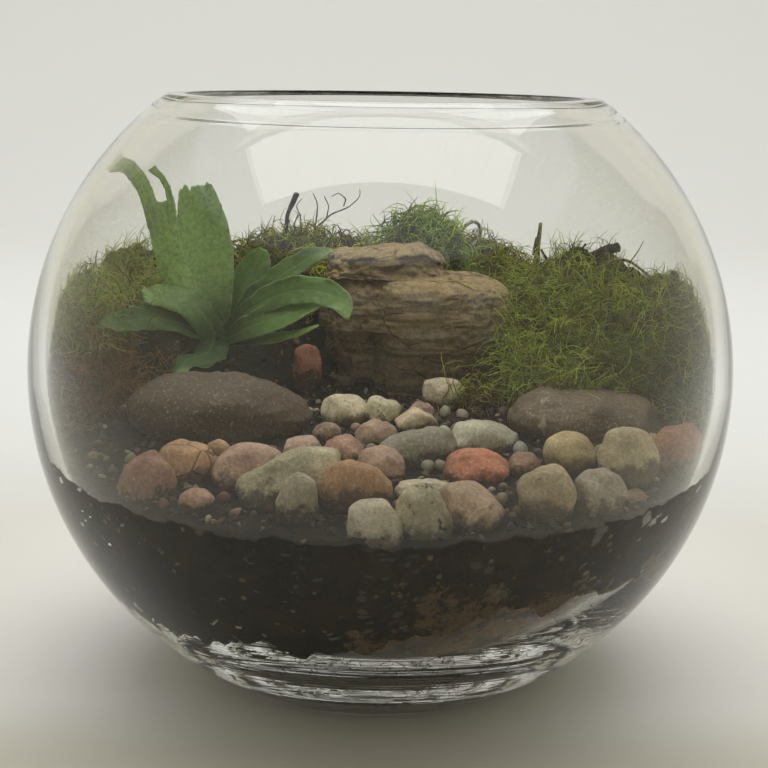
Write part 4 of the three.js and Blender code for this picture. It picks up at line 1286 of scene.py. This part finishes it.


# The cushion under the strands is drawn as matted threads, with painted shade in the gaps between them. The
# strands keep their own colour.
def mossMaterial(name, look):
    material, tree, shader, spot = startMaterial(name)
    place = spot.outputs["Object"]
    own = addNode(tree, "Attribute", attribute_name="strandColour").outputs["Color"]
    cushion = addNode(tree, "Attribute", attribute_name="cushion").outputs["Color"]
    under = addNode(tree, "SeparateColor", {"Color": cushion}).outputs["Red"]
    threads = noiseAt(tree, place, 420, 4, 0.75, 3.5)
    clumps = noiseAt(tree, place, 130, 4, 0.65)
    fine = noiseAt(tree, place, 900, 3, 0.7)
    # painted shade: the gaps between the cushion's threads are darkened by depth towards deep
    dark = mixed(tree, look["depth"], own, paint(look["deep"]))
    light = mixed(tree, 0.35, own, paint(look["bright"]))
    both = plus(tree, times(tree, threads, 0.7), times(tree, clumps, 0.3))
    matted = mixed(tree, stepped(tree, both, 0.42, 0.6), dark, light)
    colour = mixed(tree, under, own, matted)
    colour = overlaid(tree, colour, stepped(tree, fine, 0.35, 0.7), 0.12, paint(look["dim"]))
    dressed(tree, shader, colour, 0.75, 0.2)
    bumped(tree, shader, times(tree, threads, under), 1, 2 * mm)
    letThrough(tree, shader, colour, look["throughShare"])
    return material


# The clump is how light or dark the moss is round each strand's root.
def strandColours(along, count, look, dice, brown, clump=0):
    per = len(along) // count
    root, middle, tip, odd = (np.array(paint(look[k])[:3]) for k in ("root", "middle", "tip", "odd"))
    t = along[:, None]
    base = np.where(t < 0.5, root + (middle - root) * t * 2, middle + (tip - middle) * (t * 2 - 1))
    strange = np.repeat((dice.random(count) < look["oddShare"]) | brown, per)[:, None]
    base = np.where(strange, odd * (0.3 + 0.7 * np.sqrt(t)), base)
    tone = np.repeat(dice.uniform(0.65, 1.35, count) * (1 + np.clip(clump, -0.6, 0.8)), per)[:, None]
    warm = np.repeat(dice.normal(0, 0.08, count), per)[:, None] * np.array([1, 0, -0.6])
    return np.clip(base * tone * (1 + warm), 0, 1)


# Free or lying strands with their branches, as parts and shades.
def mossStrands(points, faces, look, count, lying, dice):
    normals, area = faceNormals(points, faces)
    # few strands on the underside, where the cushion rests
    share = area * np.clip(normals[:, 2] + 0.75, 0.06, 1.2)
    picks = dice.choice(len(faces), count, p=share / share.sum())
    starts = (points[faces[picks]] * dice.dirichlet((1, 1, 1), count)[:, :, None]).sum(1)
    outward = normals[picks]
    comb = np.array([noise.turbulence_vector(Vector(p) / 0.012, 2, False)[:] for p in starts]) * look["lean"]
    ways = dice.normal(size=(count, 3)) + comb
    if lying:
        ways -= outward * ((ways * outward).sum(1) * 0.9 - 0.15)[:, None]
        starts = starts + outward * (dice.uniform(0.1, 0.9, count) * mm)[:, None]
    else:
        ways = outward * 1.3 + ways * 0.55 + (0, 0, look["rise"])
        starts = starts - outward * 0.4 * mm
    ways /= np.linalg.norm(ways, axis=1)[:, None]
    lengths = dice.uniform(*look["length"], count) * mm * (1 if lying else 0.9)
    radii = dice.uniform(0.7, 1.3, count) * look["radius"] * mm
    brown = starts[:, 2] < look["brownBelow"] * mm + dice.normal(0, 5 * mm, count)
    rings = 4 if lying else 6
    droop = look["rise"] * 0.7
    body, tubes, along, line = strandTubes(starts, ways, lengths, radii, look["curl"], droop, rings, dice)
    clump = roughness(starts, 0.013, look["seed"] + 9, 2) * 0.9
    parts, shades = [(body, tubes)], [strandColours(along, count, look, dice, brown, clump)]
    for _ in range(0 if lying else look["branches"]):
        ring = dice.integers(1, 4, count)
        at = line[np.arange(count), ring]
        way = line[np.arange(count), ring + 1] - at
        way = way / (np.linalg.norm(way, axis=1)[:, None] + 1e-12) + dice.normal(size=(count, 3)) * 0.8
        way /= np.linalg.norm(way, axis=1)[:, None]
        branch, tubes, along, _ = strandTubes(at, way, lengths * 0.45, radii * 0.75, look["curl"] * 0.7,
                                              0.2, 3, dice)
        parts.append((branch, tubes))
        shades.append(strandColours(0.5 + along / 2, count, look, dice, brown, clump))
    return parts, shades


# The cushion itself with its colours: it sinks under its free strands but fills out against the
# glass, and it is brown low down.
def mossCushion(node, look):
    points, faces = refined(node, 2)
    points = softened(points, [tuple(f) for f in faces], 4)
    normals = pointNormals(points, faces)
    sink = look["sink"] * np.clip(normals[:, 2] + 0.3, 0, 1) - 0.8
    lumps = roughness(points, 0.011, look["seed"], 4) * look["lump"] - sink
    flat = points[:, :2] / np.linalg.norm(points[:, :2], axis=1)[:, None]
    reach = np.clip((normals[:, :2] * flat).sum(1), 0, 1) * look["reach"]
    points = keptInside(points + normals * ((np.minimum(lumps, 1.8) + reach) * mm)[:, None], -0.08)
    uneven = 1 + roughness(points, 0.006, look["seed"] + 3, 3)[:, None] * 0.6
    under = np.array(paint(look["under"])[:3]) * uneven
    low = np.clip((look["brownBelow"] * mm - points[:, 2]) / (12 * mm) + 0.5, 0, 1)[:, None]
    brown = np.array(paint(look["brown"])[:3])
    return points, faces, np.clip(under * (1 - low) + brown * low, 0, 1)


def spilledStrands(look, dice):
    parts, shades = [], []
    for middle, spread, count in look["spills"]:
        starts = (dice.normal(size=(count, 3)) * spread + middle) * mm
        ways = dice.normal(size=(count, 3)) + (0, -0.2, 0.4)
        ways /= np.linalg.norm(ways, axis=1)[:, None]
        lengths, radii = dice.uniform(*look["length"], count) * mm, np.full(count, look["radius"] * mm)
        body, tubes, along, _ = strandTubes(starts, ways, lengths, radii, look["curl"], 0.3, 5, dice)
        parts.append((body, tubes))
        brown = starts[:, 2] < look["brownBelow"] * mm
        shades.append(strandColours(along, count, look, dice, brown))
    return parts, shades


def makeMoss():
    for node, look in moss.items():
        look = {**anyMoss, **look}
        dice = np.random.default_rng(look["seed"])
        noise.seed_set(look["seed"])  # left alone, the combing noise starts from the clock
        points, faces, shade = mossCushion(node, look)
        parts, shades = [(points, faces)], [shade]
        for kind in ("free", "lying"):
            some, tones = mossStrands(points, faces, look, look[kind], kind == "lying", dice)
            parts += some
            shades += tones
        some, tones = spilledStrands(look, dice)
        allPoints, allFaces = joinedParts(parts + some)
        slot = "moss_olive" if node == "moss_left" else "moss_green"
        name = pieceName(node)
        piece = addPiece(name, allPoints, allFaces, mossMaterial(name + "Green", look), slot, [node])
        paintPoints(piece, "strandColour", np.vstack(shades + tones))
        cushion = np.zeros((len(allPoints), 3))
        cushion[:len(points)] = 1
        paintPoints(piece, "cushion", cushion)
    print("moss made")


makeMoss()

crumbs = {
    "onGlass": 3200, "glassSize": (0.2, 0.62), "onSoil": 2200, "soilSize": (0.5, 1.6),
    "colours": (0x2A241D, 0x3A3128, 0x5A4E40, 0x7E7262, 0xA39780, 0x8A6C48),
    "glassMix": (0.42, 0.28, 0.16, 0.06, 0.03, 0.05), "soilMix": (0.3, 0.26, 0.18, 0.12, 0.07, 0.07),
    "rootlets": 420, "rootRings": 14, "rootColour": 0x33271C, "paleRoot": 0x9A8C70, "speckle": 0x4A4036,
}


# Small closed eight-sided grains, each turned and squashed its own way.
def grainMesh(spots, sizes, dice):
    corners = np.array([(1, 0, 0), (-1, 0, 0), (0, 1, 0), (0, -1, 0), (0, 0, 1), (0, 0, -1)], float)
    shape = np.array([(0, 2, 4), (2, 1, 4), (1, 3, 4), (3, 0, 4), (2, 0, 5), (1, 2, 5), (3, 1, 5), (0, 3, 5)])
    count = len(spots)
    squash = dice.uniform(0.55, 1.25, (count, 1, 3))
    turned, _ = np.linalg.qr(dice.normal(size=(count, 3, 3)))
    size = sizes[:, None, None]
    body = corners[None] * squash * size + dice.normal(size=(count, 6, 3)) * 0.18 * size
    body = np.einsum("nij,nkj->nki", turned, body) + spots[:, None, :]
    flip = np.linalg.det(turned) < 0
    faces = shape[None] + (np.arange(count) * 6)[:, None, None]
    faces[flip] = faces[flip][:, :, ::-1]
    return body.reshape(-1, 3), faces.reshape(-1, 3)


def roomRadii(z):
    return np.array([roomRadius(v) for v in z])


# Crumbs that stick to the inside of the glass below the soil's edge, a few of them higher up.
def crumbsOnGlass(dice):
    count = crumbs["onGlass"]
    turn = dice.uniform(0, 2 * math.pi, count)
    z = 12.5 + np.abs(dice.normal(0, 15, count)) + dice.uniform(0, 8, count)
    high = dice.random(count) < 0.25
    z = np.where(high, dice.uniform(40, 100, count), z)
    r = roomRadii(z) + 0.05
    spots = np.column_stack([r * np.cos(turn), r * np.sin(turn), z])
    tops = np.array([soilTop(x, y) for x, y, _ in spots])
    return spots[spots[:, 2] < tops + dice.exponential(1.5, count)]


def crumbsOnSoil(dice):
    count = crumbs["onSoil"]
    r, turn = 112 * np.sqrt(dice.random(count)), dice.uniform(0, 2 * math.pi, count)
    spots = np.column_stack([r * np.cos(turn), r * np.sin(turn), np.zeros(count)])
    spots[:, 2] = [soilTop(x, y) + 1.2 for x, y, _ in spots]
    return spots[np.hypot(spots[:, 0], spots[:, 1]) < roomRadii(spots[:, 2]) - 1.5]


def makeCrumbs():
    dice = np.random.default_rng(71)
    palette = np.array([paint(c)[:3] for c in crumbs["colours"]])
    parts, kinds = [], []
    for scatter, size, power, mix in ((crumbsOnGlass, "glassSize", 1.5, "glassMix"),
                                      (crumbsOnSoil, "soilSize", 1.3, "soilMix")):
        spots = scatter(dice)
        sizes = dice.uniform(*crumbs[size], len(spots)) ** power
        parts.append(grainMesh(spots * mm, sizes * mm, dice))
        kinds.append(palette[dice.choice(len(palette), len(spots), p=crumbs[mix])])
    points, faces = joinedParts(parts)
    grain = speckledMaterial("crumbGrain", "grainColour")
    piece = addPiece("soilCrumbs", points, faces, grain, "soil", smooth=False)
    corners = 6
    tones = np.repeat(dice.uniform(0.7, 1.25, len(points) // corners), corners)[:, None]
    paintPoints(piece, "grainColour", np.repeat(np.vstack(kinds), corners, axis=0) * tones)
    print("crumbs made")


def speckledMaterial(name, layer):
    material, tree, shader, spot = startMaterial(name)
    own = addNode(tree, "Attribute", attribute_name=layer).outputs["Color"]
    fine = noiseAt(tree, spot.outputs["Object"], 1300, 3, 0.7)
    colour = mixed(tree, times(tree, fine, 0.5), own, paint(crumbs["speckle"]), "MULTIPLY")
    dressed(tree, shader, colour, 0.75)
    bumped(tree, shader, fine, 0.4, 0.3 * mm)
    return material


# Fine roots that creep over the inside of the glass.
def makeRootlets():
    dice = np.random.default_rng(83)
    count, rings = crumbs["rootlets"], crumbs["rootRings"]
    turn = dice.uniform(0, 2 * math.pi, count)
    low = dice.random(count) < 0.6
    z = np.where(low, 15 + np.abs(dice.normal(0, 8, count)), dice.uniform(20, 88, count))
    heading = dice.normal(0, 0.5, count) + np.where(dice.random(count) < 0.5, 0, math.pi)
    bend, stride = dice.normal(0, 0.18, count), dice.uniform(0.5, 1.3, count)
    radii = dice.uniform(0.09, 0.2, count) * mm
    lines = np.zeros((count, rings + 1, 3))
    for i in range(rings + 1):
        z = np.clip(z, 12.2, 95)
        r = roomRadii(z) - 0.02
        lines[:, i] = np.column_stack([r * np.cos(turn), r * np.sin(turn), z]) * mm
        heading = heading + bend + dice.normal(0, 0.22, count)
        turn = turn + np.cos(heading) * stride / np.maximum(r, 20)
        z = z + np.sin(heading) * stride * 0.6
    points, faces, along = tubesAlong(lines, radii, dice)
    piece = addPiece("rootlets", points, faces, speckledMaterial("rootSkin", "grainColour"), "twig")
    pale = (dice.random(count) < 0.2)[:, None]
    shade = np.where(pale, paint(crumbs["paleRoot"])[:3], paint(crumbs["rootColour"])[:3])
    paintPoints(piece, "grainColour", np.repeat(shade, len(points) // count, axis=0))
    print("rootlets made")


makeCrumbs()
makeRootlets()

# A placed stone is its middle, its half width and its colour.
gravel = {
    "count": 230, "size": (1.3, 3.6), "steps": 4, "tries": 9000, "front": -100, "back": 6, "sides": 96,
    "colours": (0x8E7E66, 0x6E5A48, 0xA89A80, 0x5A5048, 0xC4B89C, 0x7E5644, 0x9C8468),
    "placed": [
        ((22.7, -32, 94.5), 3.2, 0xD0C6B0), ((47.3, -47, 92.5), 3.0, 0xA8A294),
        ((16, -60.5, 90.2), 2.4, 0xC8BEA6), ((20.5, -60.5, 90.2), 2.6, 0xBCB29A),
        ((92.5, -37.5, 93.5), 4.2, 0xD8CBA4), ((38, -85, 86.5), 3.2, 0x8A7A66),
        ((36, -93.5, 84.6), 1.6, 0xB0A488), ((40.5, -93, 84.4), 1.4, 0x7E6C54),
        ((33, -90, 85), 1.5, 0x9C8A6C),
    ],
}


# Whether a small stone would lie in a big one's box, seen from above.
def inBox(x, y, size, low, high):
    inside = min(x - low[0] / mm, high[0] / mm - x, y - low[1] / mm, high[1] / mm - y)
    return inside > -size * 0.2


# Places for the small stones, in the gaps between the pebbles and on the open soil.
def gravelSpots(dice):
    boxes = [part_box(node) for node in stoneLooks]
    spots = [(np.array(spot), size, paint(colour)[:3]) for spot, size, colour in gravel["placed"]]
    smallest, biggest = gravel["size"]
    for _ in range(gravel["tries"]):
        if len(spots) == gravel["count"]:
            break
        x, y = dice.uniform(-gravel["sides"], gravel["sides"]), dice.uniform(gravel["front"], gravel["back"])
        z = soilTop(x, y)
        size = smallest + (biggest - smallest) * dice.random() ** 2
        if math.hypot(x, y) > roomRadius(z) - size * 1.5:
            continue
        if any(inBox(x, y, size, low, high) for low, high in boxes):
            continue
        if any(math.hypot(x - s[0][0], y - s[0][1]) < (size + s[1]) * 0.8 for s in spots):
            continue
        colour = np.array(paint(gravel["colours"][dice.integers(len(gravel["colours"]))])[:3])
        spots.append((np.array((x, y, z + size * 0.3)), size, colour * dice.uniform(0.7, 1.2)))
    return spots


def makeGravel():
    dice = np.random.default_rng(97)
    spots = gravelSpots(dice)
    ways, faces = cubeBall(gravel["steps"])
    parts, shades = [], []
    for i, (spot, size, colour) in enumerate(spots):
        turned, _ = np.linalg.qr(dice.normal(size=(3, 3)))
        turned *= np.sign(np.linalg.det(turned))
        body = ways * (size * dice.uniform(0.6, 1.05, 3)) @ turned.T
        body = body * (1 + 0.22 * roughness(ways, 1.1, i, 2)[:, None]) + spot
        parts.append((body * mm, faces))
        # painted light and shade: each small stone is lighter on top and darker below
        light = 0.75 + 0.4 * np.clip((body[:, 2] - spot[2]) / size, -0.8, 1)
        shades.append(np.array(colour)[None] * light[:, None])
    points, faces = joinedParts(parts)
    piece = addPiece("fineGravel", points, faces, speckledMaterial("gravelStone", "grainColour"), "grit")
    paintPoints(piece, "grainColour", np.clip(np.vstack(shades), 0, 1))
    print("gravel made:", len(spots))


makeGravel()

stage = {
    "floor": 1300, "bend": 1000, "bendRows": 16, "wall": 1300, "sides": 128,
    "colour": 0xD6D6D3, "near": 0xCFCABA, "under": 0xFBF9F4, "front": 0xBDB9AE, "side": 0xDEDACA,
    "fleck": 0xB8B4A8, "world": (0.86, 0.88, 0.90), "worldPower": 0.86,
    "bounces": 28, "glassBounces": 24, "glossBounces": 20, "softBounces": 5,
    "lights": {
        "wallLight": {"at": (0, 500, 1700), "aim": (0, 2300, 500), "size": (1400, 1400),
                      "power": 13.4, "spread": 150},
        "keyLight": {"at": (0, -180, 1350), "aim": (0, -20, 100), "size": (1560, 580),
                     "power": 3.9, "spread": 160},
        "backLight": {"at": (0, 560, 1300), "aim": (0, 40, 100), "size": (1500, 620),
                      "power": 4.2, "spread": 160},
    },
}


def addLight(name, look):
    lamp = bpy.data.lights.new(name, "AREA")
    lamp.shape = "RECTANGLE"
    lamp.size, lamp.size_y = (side * mm for side in look["size"])
    lamp.energy = look["power"]
    lamp.spread = math.radians(look["spread"])
    holder = bpy.data.objects.new(name, lamp)
    bpy.context.scene.collection.objects.link(holder)
    holder.location = Vector(look["at"]) * mm
    way = Vector(look["aim"]) - Vector(look["at"])
    holder.rotation_euler = way.to_track_quat("-Z", "Y").to_euler()


# Pale paper, painted darker towards the front as painted shade and paler under and behind the bowl as painted
# light that weakens the bowl's shadow; its tint is a little different beside the bowl.
def paperMaterial():
    material, tree, shader, spot = startMaterial("palePaper")
    place = spot.outputs["Object"]
    grain = noiseAt(tree, place, 40, 3)
    parts = addNode(tree, "SeparateXYZ", {"Vector": place})
    back = plus(tree, parts.outputs["Y"], times(tree, parts.outputs["Z"], 0.5))
    colour = mixed(tree, stepped(tree, back, -0.32, -0.08), paint(stage["front"]), paint(stage["near"]))
    colour = mixed(tree, stepped(tree, back, -0.12, 0.4), colour, paint(stage["colour"]))
    around = addNode(tree, "VectorMath", {"Vector": place}, operation="LENGTH").outputs["Value"]
    behind = stepped(tree, parts.outputs["Y"], -0.1, -0.04)
    colour = overlaid(tree, colour, stepped(tree, around, 0.26, 0.06), behind, paint(stage["under"]))
    aside = stepped(tree, maths(tree, "ABSOLUTE", parts.outputs["X"]), 0.8, 1.5)
    colour = mixed(tree, aside, colour, paint(stage["side"]))
    dressed(tree, shader, overlaid(tree, colour, grain, 0.06, paint(stage["fleck"])), 0.9, 0.2)
    return material


# A round floor that bends up into a wall all round.
def makeFloor():
    reach, bend, rows = stage["floor"], stage["bend"], stage["bendRows"]
    outline = [(0, 0), (300, 0), (900, 0), (reach, 0)]
    for i in range(1, rows + 1):
        turn = math.pi / 2 * i / rows
        outline.append((reach + bend * math.sin(turn), bend * (1 - math.cos(turn))))
    outline.append((reach + bend, bend + stage["wall"]))
    points, faces = turnedMesh(outline, stage["sides"])
    floor = meshObject("stageFloor", points, [tuple(reversed(f)) for f in faces])
    floor.data.materials.append(paperMaterial())


def makeStage():
    makeFloor()
    world = bpy.data.worlds.new("softRoom")
    world.use_nodes = True
    sky = world.node_tree.nodes["Background"]
    sky.inputs["Color"].default_value = (*stage["world"], 1)
    sky.inputs["Strength"].default_value = stage["worldPower"]
    bpy.context.scene.world = world
    for name, look in stage["lights"].items():
        addLight(name, look)
    # light that zigzags through the thick base needs many turns
    cycles = bpy.context.scene.cycles
    cycles.max_bounces = stage["bounces"]
    cycles.transmission_bounces = stage["glassBounces"]
    cycles.glossy_bounces = stage["glossBounces"]
    cycles.diffuse_bounces = stage["softBounces"]
    settings = bpy.context.scene.view_settings
    settings.view_transform, settings.look = "Standard", "None"
    settings.exposure = 0
    print("stage and lights made")


makeStage()
